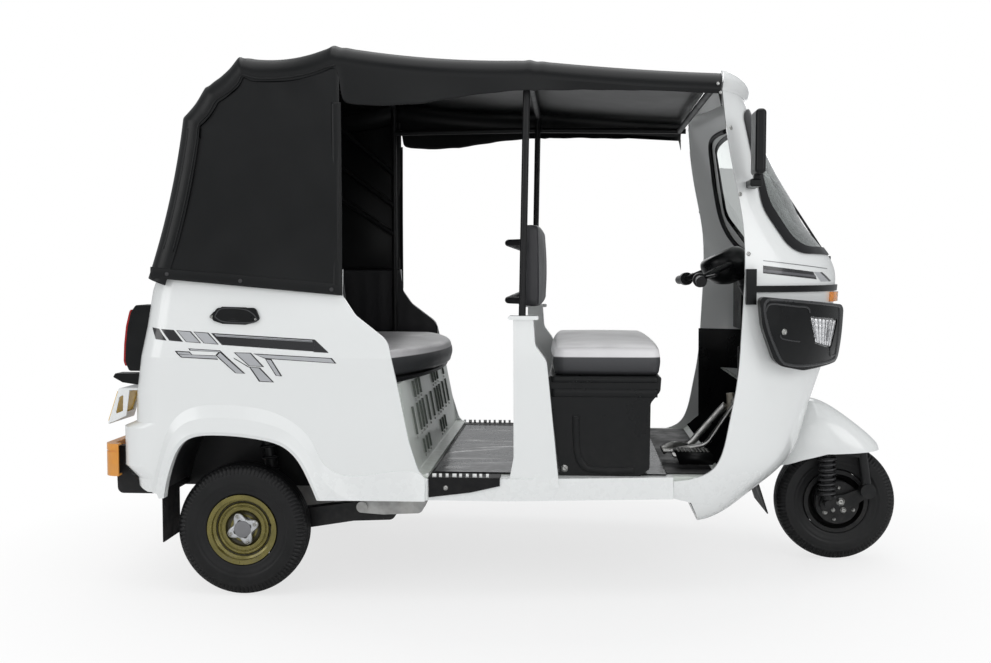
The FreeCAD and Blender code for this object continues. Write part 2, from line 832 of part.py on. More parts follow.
def side_vent():
    """The cover over an air inlet on the right side panel."""
    plan = [(-82, 878, 10), (-66, 916, 14), (58, 916, 14), (74, 878, 10), (44, 868, 10), (-52, 868, 10)]
    y = BODY_HALF_WIDTH
    raw = side_slab(plan, -y - 8, -y + 40)
    skin = tub(-7.0, low=600.0, high=REAR_TOP).cut(tub(-SEAT_GAP, low=550.0, high=REAR_TOP + 20, front=900.0))
    return raw.common(skin)


def tail_lamp():
    """The right tail lamp's housing."""
    shape = [
        (-260, 708),
        (-385, 708, 10),
        (-397, 738, 30),
        (-394, 796, 60),
        (-387, 853, 60),
        (-375, 900, 20),
        (-359, 921, 8),
        (-240, 921),
    ]
    housing = side_slab(shape, -LAMP_Y - LAMP_HALF, -LAMP_Y + LAMP_HALF)
    return housing.cut(tub(-SEAT_GAP, low=600.0, high=REAR_TOP, front=900.0))


def tail_lens():
    """The right tail lamp's coloured lens, over the housing's rear face."""
    cover = tail_lamp()
    cover.translate(V(-8, 0, 0))
    lens = cover.cut(tail_lamp())
    window = block((-450, -340), (-LAMP_Y - LAMP_HALF + 6, -LAMP_Y + LAMP_HALF - 6), (724, 906))
    lens = lens.common(window)
    lens.translate(V(-SEAT_GAP, 0, 0))
    return lens


def plate_holder():
    """The folded frame below the right tail lamp that carries the plate, with its gusset."""
    near, far = -PLATE_Y - 102, -PLATE_Y + 102
    shape = [(-300, 657), (-400, 657, 6), (-438, 543), (-433, 542), (-396.5, 651, 3), (-300, 651)]
    holder = side_slab(shape, near, far)
    window = front_slab([(near + 20, 566, 5), (near + 20, 638, 5), (far - 20, 638, 5), (far - 20, 566, 5)], -500, -380)
    holder = holder.cut(window)
    gusset = side_slab([(-366, 653), (-397, 653), (-434, 545), (-416, 551), (-378, 569)], near, near + 4)
    hole = side_slab([(-386, 636, 3), (-400, 628, 3), (-413, 574, 3), (-388, 584, 3)], near - 5, near + 9)
    holder = holder.fuse(gusset.cut(hole))
    return holder.cut(tub(-SEAT_GAP, low=400.0, high=REAR_TOP, front=900.0)).removeSplitter()


def number_plate():
    """The blank plate, flat on its holder's outer face."""
    slope = V(-38, 0, -114).normalize()
    across = V(slope.z, 0, -slope.x)
    start = V(-400, 0, 657) + slope * 12 + across * SEAT_GAP
    corners = [start, start + slope * 100, start + slope * 100 + across * 3, start + across * 3]
    return side_slab([(c.x, c.z) for c in corners], -PLATE_Y - 98, -PLATE_Y + 98)


def plate_lamp():
    """The small lamp over the number plate."""
    shape = [(-300, 664), (-360, 664), (-406, 671, 4), (-437, 688, 3), (-430, 700, 3), (-300, 700)]
    lamp = side_slab(shape, -550, -492)
    return lamp.cut(tub(-SEAT_GAP, low=400.0, high=REAR_TOP, front=900.0))


def rear_bumper():
    """The pressed bar behind the body, with its ends turned forward and its edges turned in."""

    def bar(inset, low, high):
        rear = -REAR_OVERHANG + inset
        half = BUMPER_HALF - inset
        corner = 42 - inset
        plan = [(-404, -half), (rear, -half, corner), (rear, half, corner), (-404, half)]
        return plan_slab(plan, low, high)

    web = bar(0, BUMPER_LOW, BUMPER_HIGH).cut(bar(6, BUMPER_LOW - 1, BUMPER_HIGH + 1))
    web = web.cut(bar(0, 452, 457).cut(bar(2.5, 451, 458)))
    lips = bar(1, BUMPER_LOW, BUMPER_LOW + 6).fuse(bar(1, BUMPER_HIGH - 6, BUMPER_HIGH))
    lips = lips.cut(bar(28, BUMPER_LOW - 1, BUMPER_HIGH + 1))
    return web.fuse(lips).removeSplitter()


def bumper_bracket():
    """The right arm to the bumper, with the cross piece that ties it to the underframe's rail."""
    face = -REAR_OVERHANG + 28 + SEAT_GAP
    shape = [
        (-258, 311),
        (-258, 327),
        (-334, 328),
        (-356, 350),
        (-400, 404),
        (-400, 466),
        (face, 466),
        (face, 362, 10),
        (-425, 311, 20),
    ]
    arm = side_slab(shape, -556, -520)
    return arm.fuse(block((-300, -258), (-556, -308), (311, 327)))


def rear_mud_flap():
    """The rubber flap behind the right rear wheel."""
    half = BODY_HALF_WIDTH - SHEET - 13
    return block((-254, -250), (-half, -half + 150), (168, 402))


# Wheels


def tyre(x, y):
    """A cross-ply tyre: a rounded crown, bulged side walls and beads on the rim."""
    half = TYRE_WIDTH / 2
    seat = RIM_RADIUS - 10.0
    crown = TYRE_RADIUS
    centre = V(x, y, TYRE_RADIUS)
    bead = RIM_WIDTH / 2 - 6

    def place(r, d):
        return centre + V(0, d, r)

    shoulder = half * 0.82
    bulge = (crown + seat) / 2 + 8
    edges = [
        Part.Arc(place(crown - 9, -shoulder), place(crown, 0), place(crown - 9, shoulder)).toShape(),
        Part.Arc(place(crown - 9, shoulder), place(bulge, half), place(RIM_RADIUS + 1, bead)).toShape(),
        Part.LineSegment(place(RIM_RADIUS + 1, bead), place(seat + SEAT_GAP, bead)).toShape(),
        Part.LineSegment(place(seat + SEAT_GAP, bead), place(seat + SEAT_GAP, -bead)).toShape(),
        Part.LineSegment(place(seat + SEAT_GAP, -bead), place(RIM_RADIUS + 1, -bead)).toShape(),
        Part.Arc(place(RIM_RADIUS + 1, -bead), place(bulge, -half), place(crown - 9, -shoulder)).toShape(),
    ]
    return Part.Face(Part.Wire(edges)).revolve(centre, V(0, 1, 0), 360)


def rim(x, y, out):
    """A pressed steel rim and its stepped disc. out is the side that the disc faces, -1 for right."""
    half = RIM_WIDTH / 2
    seat = RIM_RADIUS - 10.0
    wall = 4.0
    profile = [
        (RIM_RADIUS, half),
        (RIM_RADIUS, half - wall),
        (seat, half - wall - 1),
        (seat, -half + wall + 1),
        (RIM_RADIUS, -half + wall),
        (RIM_RADIUS, -half),
        (seat - wall, -half),
        (seat - wall, 8),
        (84, 2),
        (72, 16),
        (60, 16),
        (52, 2),
        (34, 2),
        (34, 7),
        (50, 7),
        (58, 21),
        (74, 21),
        (86, 7),
        (seat - wall, 14),
        (seat - wall, half),
    ]
    return turned([(r, out * d) for r, d in profile], V(x, y, TYRE_RADIUS), V(0, 1, 0))


def hub(x, y, out, drum, stub_end):
    """A brake drum and its nose, which the rim is bolted to, bored for the stub axle."""
    half = RIM_WIDTH / 2
    face = 2 - SEAT_GAP
    bore = STUB_RADIUS + SHAFT_PLAY
    floor = stub_end + RUNNING_GAP
    profile = [
        (bore, -half + 1),
        (drum, -half + 1),
        (drum, face - 22),
        (58, face),
        (31, face),
        (31, floor + 6),
        (24, floor + 12),
        (0, floor + 12),
        (0, floor),
        (bore, floor),
    ]
    return turned([(r, out * d) for r, d in profile], V(x, y, TYRE_RADIUS), V(0, 1, 0))


def trailing_arm():
    """The right rear arm, from its pivot on the body to the stub axle, with the brake plate."""
    plate = rod((0, -ARM_IN - 12, TYRE_RADIUS), (0, -ARM_IN - 4, TYRE_RADIUS), 78)
    spacer = rod((0, -ARM_IN - 5, TYRE_RADIUS), (0, -ARM_IN + 10, TYRE_RADIUS), 46)
    arm = side_slab(
        [
            (-44, TYRE_RADIUS - 34, 24),
            (-44, TYRE_RADIUS + 34, 24),
            (60, TYRE_RADIUS + 34, 40),
            (380, 288, 30),
            (478, 280, 22),
            (478, 228, 22),
            (340, 222, 40),
            (60, TYRE_RADIUS - 34, 40),
        ],
        -ARM_IN,
        -ARM_IN + 48,
    )
    stub = rod((0, -REAR_WHEEL_Y - 8, TYRE_RADIUS), (0, -ARM_IN + 20, TYRE_RADIUS), STUB_RADIUS)
    lug = rod((70, -ARM_IN + 40, 226), (70, -ARM_IN + 74, 226), 11)
    return plate.fuse(spacer).fuse(arm).fuse(stub).fuse(lug).removeSplitter()


def spring_strut(foot, head, coil_radius, wire, turns):
    """A damper with its coil spring, from its lower eye to its upper one."""
    low, high = V(*foot), V(*head)
    length = (high - low).Length
    axis = (high - low).normalize()
    strut = Part.makeCylinder(coil_radius * 0.55, length, low, axis)
    for share in (0.16, 0.9):
        seat = Part.makeCylinder(coil_radius + wire * 0.6, 8, low + axis * (length * share - 4), axis)
        strut = strut.fuse(seat)
    span = length * 0.74 - 8
    for i in range(turns):
        at = low + axis * (length * 0.16 + 4 + span * (i + 0.5) / turns)
        strut = strut.fuse(Part.makeTorus(coil_radius - wire, wire, at, axis))
    core = Part.makeCylinder(coil_radius - wire * 1.4, span + 8, low + axis * (length * 0.16), axis)
    return strut.fuse(core)


def rear_shock():
    """The right rear spring and damper, between the arm and the wheel arch."""
    y = -ARM_IN + 66
    return spring_strut((70, y, 226 + 11 + SEAT_GAP), (40, y, 505), 28.0, 5.0, 5)


def engine_block():
    """The engine and gearbox as one plain block."""
    return block((-215, 215), (-ENGINE_HALF, ENGINE_HALF), (178, 545))


def drive_shaft():
    """The right half shaft from the gearbox to the rear arm, with its boots."""
    y_arm = -ARM_IN + 48 + SEAT_GAP
    y_box = -ENGINE_HALF - SEAT_GAP
    shaft = rod((0, y_arm, TYRE_RADIUS), (0, y_box, TYRE_RADIUS), 12)
    for start, end in ((y_arm, y_arm + 60), (y_box - 60, y_box)):
        shaft = shaft.fuse(rod((0, start, TYRE_RADIUS), (0, end, TYRE_RADIUS), 32))
    return shaft


# Steering and the front wheel


def column_tube():
    """The fixed outer tube of the column, with the flange that ties it to the wheel housing."""
    low = RECESS_ROOF + 2
    tube = Part.makeCylinder(COLUMN_RADIUS, COLUMN_TOP - low, on_axis(low), STEER)
    flange = Part.makeCylinder(COLUMN_RADIUS + 34, 8, on_axis(RECESS_ROOF + HOUSING_WALL + SEAT_GAP), STEER)
    tube = tube.fuse(flange).cut(Part.makeCylinder(SHAFT_RADIUS + SHAFT_PLAY, 1400, on_axis(-200), STEER))
    return tube.common(cowl_body(COWL_WALL + SEAT_GAP, back=1250.0))


def bar_points():
    """The handlebar's middle line, from its right end to its left."""
    return [
        on_axis(BAR_AT, -BAR_SWEEP, -BAR_HALF),
        on_axis(BAR_AT, -BAR_SWEEP + 14, -BAR_HALF + 170),
        on_axis(BAR_AT, BAR_SET, -90),
        on_axis(BAR_AT, BAR_SET, 90),
        on_axis(BAR_AT, -BAR_SWEEP + 14, BAR_HALF - 170),
        on_axis(BAR_AT, -BAR_SWEEP, BAR_HALF),
    ]


def bare_bar(radius):
    """The handlebar's tube alone."""
    return bent_tube([tuple(p) for p in bar_points()], 60, radius)


def handlebar():
    """The swept bar with its grips, switch blocks and levers."""
    ends = bar_points()
    bar = bare_bar(BAR_RADIUS)
    for tip, inner in ((ends[0], ends[1]), (ends[-1], ends[-2])):
        along = (inner - tip).normalize()
        grip = Part.makeCylinder(GRIP_RADIUS, GRIP_LENGTH, tip - along * 4, along)
        switch = Part.makeCylinder(GRIP_RADIUS + 7, 42, tip + along * (GRIP_LENGTH - 6), along)
        ahead = on_axis(0, 1) - on_axis(0)
        lever_start = tip + along * (GRIP_LENGTH + 10) + ahead * 20
        lever_end = tip + along * 12 + ahead * 52
        lever = rod(tuple(lever_start), tuple(lever_end), 5)
        bar = bar.fuse(grip).fuse(switch).fuse(lever)
    return bar


def nacelle():
    """The hood over the middle of the handlebar, with a flat face for the instrument."""
    rings = []
    for height, radius, shift in ((-70, 44, -14), (-34, 78, -34), (4, 86, -40), (30, 80, -44), (46, 58, -46)):
        centre = on_axis(BAR_AT + height, shift)
        rings.append(Part.Wire(Part.Circle(centre, STEER, radius).toShape()))
    hood = Part.makeLoft(rings, True, False)
    room = Part.makeCylinder(SHAFT_RADIUS + SEAT_GAP, BAR_AT + SEAT_GAP, on_axis(0), STEER)
    return hood.cut(room).cut(bare_bar(BAR_RADIUS + SEAT_GAP))


def fork():
    """The steering shaft, its crown, and the single leg that passes the tyre on its right."""
    crown = Part.makeCylinder(36, 34, on_axis(CROWN_AT), STEER)
    shaft = Part.makeCylinder(SHAFT_RADIUS, BAR_AT - BAR_RADIUS - SEAT_GAP - CROWN_AT - 30, on_axis(CROWN_AT + 30), STEER)
    start = on_axis(CROWN_AT + 17)
    points = [
        tuple(start),
        (start.x + 30, LEG_Y * 0.7, start.z + 6),
        (PIVOT[0] - 22, LEG_Y, 404),
        (PIVOT[0], LEG_Y, PIVOT[1]),
    ]
    leg = bent_tube(points, 40, LEG_RADIUS)
    eye = rod((PIVOT[0], LEG_Y - 22, PIVOT[1]), (PIVOT[0], LEG_Y + 20, PIVOT[1]), 26)
    shelf = [(1918, 392), (1918, 404), (PIVOT[0] - 30, 404), (PIVOT[0] - 30, 380), (1975, 392)]
    shelf = side_slab(shelf, LEG_Y - 20, LEG_Y + 16)
    return crown.fuse(shaft).fuse(leg).fuse(eye).fuse(shelf).removeSplitter()


def front_arm():
    """The link that trails from the fork's pivot and carries the front axle."""
    link = side_slab(
        [
            (PIVOT[0] + 20, PIVOT[1] + 18, 16),
            (PIVOT[0] + 20, PIVOT[1] - 20, 16),
            (WHEELBASE + 10, TYRE_RADIUS - 40, 24),
            (WHEELBASE - 62, TYRE_RADIUS - 24, 22),
            (WHEELBASE - 62, TYRE_RADIUS + 20, 22),
            (WHEELBASE + 20, TYRE_RADIUS + 32, 30),
        ],
        LEG_Y + 20 + SEAT_GAP,
        LEG_Y + 40,
    )
    plate = rod((WHEELBASE, LEG_Y + 39, TYRE_RADIUS), (WHEELBASE, -RIM_WIDTH / 2 - RUNNING_GAP, TYRE_RADIUS), 76)
    stub = rod((WHEELBASE, LEG_Y + 24, TYRE_RADIUS), (WHEELBASE, -8, TYRE_RADIUS), STUB_RADIUS)
    seat = rod((1940, LEG_Y - 24, 216), (1940, LEG_Y + 24, 216), 12)
    return link.fuse(plate).fuse(stub).fuse(seat).removeSplitter()


def front_shock():
    """The front spring and damper, between the arm and the fork's shelf."""
    return spring_strut((1940, LEG_Y, 216 + 12 + SEAT_GAP), (1940, LEG_Y, 392 - SEAT_GAP), 27.0, 5.0, 4)


def mudguard_shell(inset):
    """The front mudguard as a closed solid, smaller all round by the inset."""
    # X, ridge height and half width of each station
    stations = [
        (1752.0, 385.0, 66.0),
        (1790.0, 480.0, 104.0),
        (1830.0, 545.0, 128.0),
        (1880.0, 574.0, 142.0),
        (1990.0, 534.0, 146.0),
        (2070.0, 474.0, 128.0),
        (2124.0, 424.0, 84.0),
    ]
    wires = []
    for x, top, half in stations:
        across = half - inset
        points = []
        steps = 10
        for i in range(steps + 1):
            angle = math.pi * i / steps
            y = -across * math.copysign(abs(math.cos(angle)) ** 0.7, math.cos(angle))
            z = 330 + (top - inset - 330) * math.sin(angle) ** 0.62
            points.append(V(x, y, z))
        curve = Part.BSplineCurve()
        curve.interpolate(points)
        low_right, low_left = V(x, -across, 250), V(x, across, 250)
        wires.append(
            Part.Wire(
                [
                    curve.toShape(),
                    Part.LineSegment(points[-1], low_left).toShape(),
                    Part.LineSegment(low_left, low_right).toShape(),
                    Part.LineSegment(low_right, points[0]).toShape(),
                ]
            )
        )
    return Part.makeLoft(wires, True, False)


def front_mudguard():
    """The deep front mudguard, which turns with the fork."""
    shell = mudguard_shell(0).cut(mudguard_shell(MUDGUARD_WALL))
    edge = [(1740, 335), (1800, 352), (1850, 372), (1930, 395), (2140, 402), (2140, 700), (1740, 700)]
    shell = shell.common(side_slab(edge, -400, 400))
    bore = Part.makeCylinder(SHAFT_RADIUS + SEAT_GAP, 200, on_axis(CROWN_AT + 34), STEER)
    collar = Part.makeCylinder(SHAFT_RADIUS + 12, 40, on_axis(350), STEER)
    return shell.fuse(collar.common(mudguard_shell(1.0))).cut(bore).removeSplitter()


def front_mud_flap():
    """The rubber flap that hangs from the cowl's lower edge behind the front wheel."""
    flap = side_slab([(1686, 310), (1690, 311), (1731, 184), (1727, 183)], -140, 140)
    return flap.cut(cowl_body(-SEAT_GAP))


# The canopy and its frame


def canopy_profile(y, inset, drop):
    """The canopy from the side: fabric that sags a little between the bows."""
    points = [(CANOPY_REAR_X, 900.0, -1.0, 0.0), (CANOPY_REAR_X + 3, 1050.0, -1.0, 0.15)]
    lean = [(-0.92, 0.4), (-0.75, 0.66), (-0.42, 0.9), (0.0, 1.0), (0.0, 1.0)]
    points += [(x, z, n[0], n[1]) for (x, z), n in zip(BOWS, lean)]
    points.append((CANOPY_FRONT_X, FRONT_ROOF_Z, 0.0, 1.0))
    moved = [V(x - nx * (inset + drop), y, z - nz * (inset + drop)) for x, z, nx, nz in points]
    edges = [Part.LineSegment(moved[0], moved[1]).toShape()]
    for a, b in zip(moved[1:], moved[2:]):
        run = b - a
        across = V(run.z, 0, -run.x).normalize()
        middle = (a + b) * 0.5 + across * min(FABRIC_SAG, run.Length * 0.06)
        edges.append(Part.Arc(a, middle, b).toShape())
    foot = V(CANOPY_FRONT_X, y, 900.0)
    edges.append(Part.LineSegment(moved[-1], foot).toShape())
    edges.append(Part.LineSegment(foot, moved[0]).toShape())
    return Part.Wire(edges)


def canopy_body(inset):
    """The canopy as a closed solid, smaller all round by the inset."""
    half = CANOPY_HALF_WIDTH - inset
    # Share of the half width, and how far the roof edge has dropped there
    rounding = [(0.0, -ROOF_CROWN), (0.7, -ROOF_CROWN * 0.5), (0.93, 3.0), (0.98, 16.0), (1.0, 44.0)]
    rows = [(-half * share, drop) for share, drop in reversed(rounding)]
    rows += [(half * share, drop) for share, drop in rounding[1:]]
    return Part.makeLoft([canopy_profile(y, inset, drop) for y, drop in rows], True, True)


def canopy_openings():
    """The doorways, and the hem below which the canopy is open."""
    lower = [
        (OPENING_REAR_X, 800),
        (OPENING_REAR_X, 1560, 30),
        (560, 1536, 60),
        (740, 1570, 120),
        (913, 1583, 200),
        (CANOPY_FRONT_X + 100, VALANCE_FRONT_Z - 6),
        (CANOPY_FRONT_X + 100, 800),
    ]
    hem = [(-600, 1014), (-290, 1014), (340, CANOPY_HEM), (600, CANOPY_HEM), (600, 700), (-600, 700)]
    return side_slab(lower, -900, 900).fuse(side_slab(hem, -900, 900))


def canopy():
    """The soft top: roof, sides and back in one coated fabric."""
    shell = canopy_body(0).cut(canopy_body(CANOPY_WALL)).cut(canopy_openings())
    front = block((CANOPY_FRONT_X - CANOPY_WALL - 2, CANOPY_FRONT_X + 50), (-600, 600), (900, FRONT_ROOF_Z - 22))
    return shell.cut(front)


def canopy_frame():
    """The tubes under the canopy: two full hoops, the rear bows, the side rails and the front bow."""
    half = FRAME_HALF_WIDTH
    under = CANOPY_WALL + TUBE_RADIUS + 4
    lean = [0.92, 0.75, 0.42, 0.0, 0.0]
    tops = [(x + under * n, z - under) for (x, z), n in zip(BOWS, lean)]
    feet = [(HOOP_X, 1180.0), (HOOP_X, 1300.0), (HOOP_X, 1430.0)]
    pieces = []
    for (x, z), (foot_x, foot_z) in zip(tops[:3], feet):
        points = [(foot_x, -half, foot_z), (x, -half, z), (x, half, z), (foot_x, half, foot_z)]
        pieces.append(bent_tube(points, 45, TUBE_RADIUS))
    hoop_top = tops[3][1]
    deck = DECK_TOP + SEAT_GAP
    pieces.append(
        bent_tube(
            [(HOOP_X, -half, deck), (HOOP_X, -half, hoop_top), (HOOP_X, half, hoop_top), (HOOP_X, half, deck)],
            45,
            TUBE_RADIUS,
        )
    )
    post_top = tops[4][1]
    foot = POST_TOP_Z + SEAT_GAP
    pieces.append(
        bent_tube(
            [
                (POST_X - 4, -half, foot),
                (POST_X + 10, -half, post_top),
                (POST_X + 10, half, post_top),
                (POST_X - 4, half, foot),
            ],
            45,
            TUBE_RADIUS,
        )
    )
    front = 1500.0
    for side in (-1, 1):
        rail = [
            (HOOP_X, side * half, RAIL_Z),
            (POST_X + 8, side * half, RAIL_Z + 8),
            (front, side * 530, RAIL_Z - 8),
        ]
        pieces.append(bent_tube(rail, 300, TUBE_RADIUS))
        inner_y = side * (half - 3 * TUBE_RADIUS)
        pieces.append(rod((POST_X - 4, inner_y, foot), (POST_X + 8, inner_y, post_top), TUBE_RADIUS - 1))
    pieces.append(rod((1474, -534, RAIL_Z - 6), (1474, 534, RAIL_Z - 6), TUBE_RADIUS))
    pieces += grab_bars()
    frame = pieces[0]
    for piece in pieces[1:]:
        frame = frame.fuse(piece)
    return frame


def grab_bars():
    """The two bars behind the driver's backrest, for the passengers."""
    bars = []
    y_post = FRAME_HALF_WIDTH - 3 * TUBE_RADIUS
    for z in (938.0, 1120.0):
        points = [(888, -y_post, z), (840, -y_post + 60, z), (840, y_post - 60, z), (888, y_post, z)]
        bars.append(bent_tube(points, 40, TUBE_RADIUS))
    return bars


# Seats


def padded_block(x, y, z, radius):
    """A cushion: a box with all its upper edges and its corners rounded."""
    body = block(x, y, z)
    keep = [e for e in body.Edges if e.BoundBox.ZMax > z[0] + 1]
    return body.makeFillet(radius, keep)


def driver_seat_box():
    """The moulded box under the driver's seat, open in nothing but its underside."""
    shape = [
        (970, 700, 6),
        (1324, 706, 6),
        (1321, 655, 20),
        (1291, 617, 20),
        (1289, 409, 10),
        (1258, FLOOR_TOP + SEAT_GAP),
        (1008, FLOOR_TOP + SEAT_GAP),
        (976, 627, 20),
    ]
    shape = [(p[0], min(p[1], DRIVER_BOX_TOP)) + tuple(p[2:]) for p in shape]
    outer = side_slab(shape, -DRIVER_BOX_HALF, DRIVER_BOX_HALF)
    inner = side_slab(
        [
            (984, 690),
            (1312, 690),
            (1309, 660),
            (1279, 622),
            (1277, 415),
            (1255, 300),
            (1020, 300),
            (988, 627),
        ],
        -DRIVER_BOX_HALF + 10,
        DRIVER_BOX_HALF - 10,
    )
    return outer.cut(inner)


def driver_cushion():
    """The driver's wide cushion."""
    return padded_block((975, 1333), (-520, 520), (DRIVER_BOX_TOP + SEAT_GAP, 796), 26)


def driver_backrest():
    """The driver's backrest, which leans back from the seat's rear edge."""
    shape = [(880, 905, 14), (866, 1112, 14), (872, 1185, 14), (922, 1192, 22), (944, 1130, 60), (952, 907, 16)]
    return side_slab(shape, -500, 500)


def rear_cushion():
    """The passenger cushion, with a front edge that bows forward."""
    low = DECK_TOP + SEAT_GAP
    cushion = bowed_plan(REAR_CUSHION_BACK, REAR_CUSHION_FRONT, REAR_CUSHION_BOW, REAR_CUSHION_HALF, 0)
    cushion = cushion.extrude(V(0, 0, REAR_CUSHION_HEIGHT))
    cushion.translate(V(0, 0, low))
    top = [e for e in cushion.Edges if e.BoundBox.ZMin > low + REAR_CUSHION_HEIGHT - 1]
    return cushion.makeFillet(24, top)


def rear_seat_back():
    """The passenger backrest, against the upright sheet."""
    low = DECK_TOP + REAR_CUSHION_HEIGHT + 2 * SEAT_GAP
    lean = (-24 - 66) / (1190 - DECK_TOP - SEAT_GAP)
    foot = 66 + lean * (low - DECK_TOP) + SEAT_GAP + 0.2
    head = 66 + lean * (1176 - DECK_TOP) + SEAT_GAP + 0.2
    shape = [(foot, low), (foot + 70, low, 24), (head + 66, 1176, 30), (head, 1176)]
    return side_slab(shape, -560, 560)


def floor_mat():
    """The mat on the floor, in a front and a rear piece."""
    low = FLOOR_TOP + SEAT_GAP
    rear = block((600, 960), (-540, 540), (low, low + 3))
    front = block((1300, 1498), (-505, 505), (low, low + 3))
    return Part.makeCompound([rear, front])


def step_trim():
    """The tread plate over the right sill in the passenger doorway."""
    out = SILL_OUT + SEAT_GAP
    face = side_slab([(600, 326), (600, 389), (822, 389), (822, 364), (732, 343)], -out - 4, -out)
    top = block((600, 822), (-out - 4, -SILL_OUT + SILL_WIDTH), (FLOOR_TOP + SEAT_GAP, 389))
    return face.fuse(top).removeSplitter()


# Controls and small parts


def dashboard():
    """The shelf and the upright panel under the windscreen, with two boxes below them."""
    inside = cowl_body(COWL_WALL + SEAT_GAP, back=1250.0)
    shelf = block((1772, 2000), (-700, 700), (1056, 1064))
    panel = block((1772, 1780), (-530, 530), (800, 1060))
    boxes = block((1692, 1776), (-500, -290), (806, 1048)).fuse(block((1692, 1776), (290, 500), (806, 1048)))
    panel = panel.cut(recess(HOUSING_WALL + SEAT_GAP))
    panel = panel.cut(Part.makeCylinder(COLUMN_RADIUS + 6, 1400, on_axis(-200), STEER))
    return shelf.fuse(panel).fuse(boxes).common(inside).removeSplitter()


def front_lining():
    """The dark lining inside the cowl, from the toe board up to the boxes."""
    inside = cowl_body(COWL_WALL + SEAT_GAP, back=1250.0)
    wall = inside.cut(cowl_body(COWL_WALL + SEAT_GAP + 5, back=1250.0))
    wall = wall.common(block((1560, 2000), (-700, 700), (FLOOR_TOP + 1, 796)))
    board = [
        (1400, 300),
        (1400, FLOOR_TOP + SEAT_GAP),
        (1499, FLOOR_TOP + SEAT_GAP),
        (1595, FLOOR_TOP + 86),
        (1645, FLOOR_TOP + 256),
        (2000, FLOOR_TOP + 256),
        (2000, 300),
    ]
    wall = wall.cut(side_slab(board, -800, 800)).cut(recess(HOUSING_WALL + SEAT_GAP))
    return wall.removeSplitter()


def brake_pedal():
    """The pedal, its bent arm and its pivot bracket on the toe board."""
    pad = block((1350, 1424), (-286, -214), (418, 428))
    pad = pad.makeFillet(4, pad.Edges)
    arm = bent_tube([(1405, -250, 424), (1500, -250, 440), (1596, -250, 585)], 60, 8)
    pivot = rod((1596, -280, 585), (1596, -220, 585), 12)
    bracket = block((1590, 1640), (-290, -280), (560, 600)).fuse(block((1590, 1640), (-220, -210), (560, 600)))
    pedal = pad.fuse(arm).fuse(pivot).fuse(bracket)
    return pedal.cut(toe_room()).removeSplitter()


def toe_room():
    """Everything forward of the toe board's cab side, less a seating gap."""
    edge = [
        (1500, FLOOR_TOP + SEAT_GAP),
        (1595, FLOOR_TOP + 86),
        (1645, FLOOR_TOP + 256),
        (1800, FLOOR_TOP + 256),
        (1800, FLOOR_TOP),
    ]
    return side_slab(edge, -600, 600)


def foot_rest():
    """The studded plate on the floor beside the pedal."""
    low = FLOOR_TOP + SEAT_GAP + 3 + SEAT_GAP
    plate = block((1396, 1496), (-200, -90), (low, low + 4))
    for i in range(4):
        for j in range(4):
            plate = plate.fuse(Part.makeCylinder(5, 4, V(1411 + i * 23, -186 + j * 27, low + 3)))
    return plate.removeSplitter()


def mirror():
    """The right mirror: its head faces the rear, on a short arm from the cowl."""
    head = padded_mirror_head()
    arm = block((1594, 1612), (-600, -576), (1300, 1332))
    base = block((1582, 1618), (-612, -490), (1287, 1311))
    base = base.makeFillet(6, base.Edges)
    shape = head.fuse(arm).fuse(base)
    return shape.cut(cowl_body(-SEAT_GAP)).removeSplitter()


def padded_mirror_head():
    """The mirror's rounded housing."""
    head = block((1590, 1622), (-654, -550), (1322, 1517))
    return head.makeFillet(13, head.Edges)


def wiper():
    """The windscreen wiper: a boss on the cowl, its arm and its blade."""

    def strip(low, high, near, far, half):
        nose_low, nose_high = between(COWL_LEVELS, low, 1), between(COWL_LEVELS, high, 1)
        shape = [(nose_low + near, low), (nose_low + far, low), (nose_high + far, high), (nose_high + near, high)]
        return side_slab(shape, -half, half)

    boss = block((1880, between(COWL_LEVELS, 1072, 1) + 26), (-12, 12), (1060, 1083))
    arm = strip(1068, 1310, 16, 24, 5)
    blade = strip(1206, 1402, 8, 17, 4)
    return boss.cut(cowl_body(-SEAT_GAP)).fuse(arm).fuse(blade).removeSplitter()


def save(name, shape):
    """Moves a piece to the row frame and writes it."""
    moved = shape.copy()
    moved.translate(V(ROW_SHIFT, 0, 0))
    moved.exportStep(f"parts/{name}.step")
    valid = "" if moved.isValid() else "INVALID"
    box = moved.BoundBox
    print(f"{name:22s} {len(moved.Solids):2d} {moved.Volume / 1e6:8.3f} {valid} "
          f"x {box.XMin:.0f} {box.XMax:.0f} y {box.YMin:.0f} {box.YMax:.0f} z {box.ZMin:.0f} {box.ZMax:.0f}")


def both(name, shape):
    """Writes a piece of the right side and its mirror image, as two nodes."""
    save(f"{name}_right", shape)
    save(f"{name}_left", mirrored(shape))


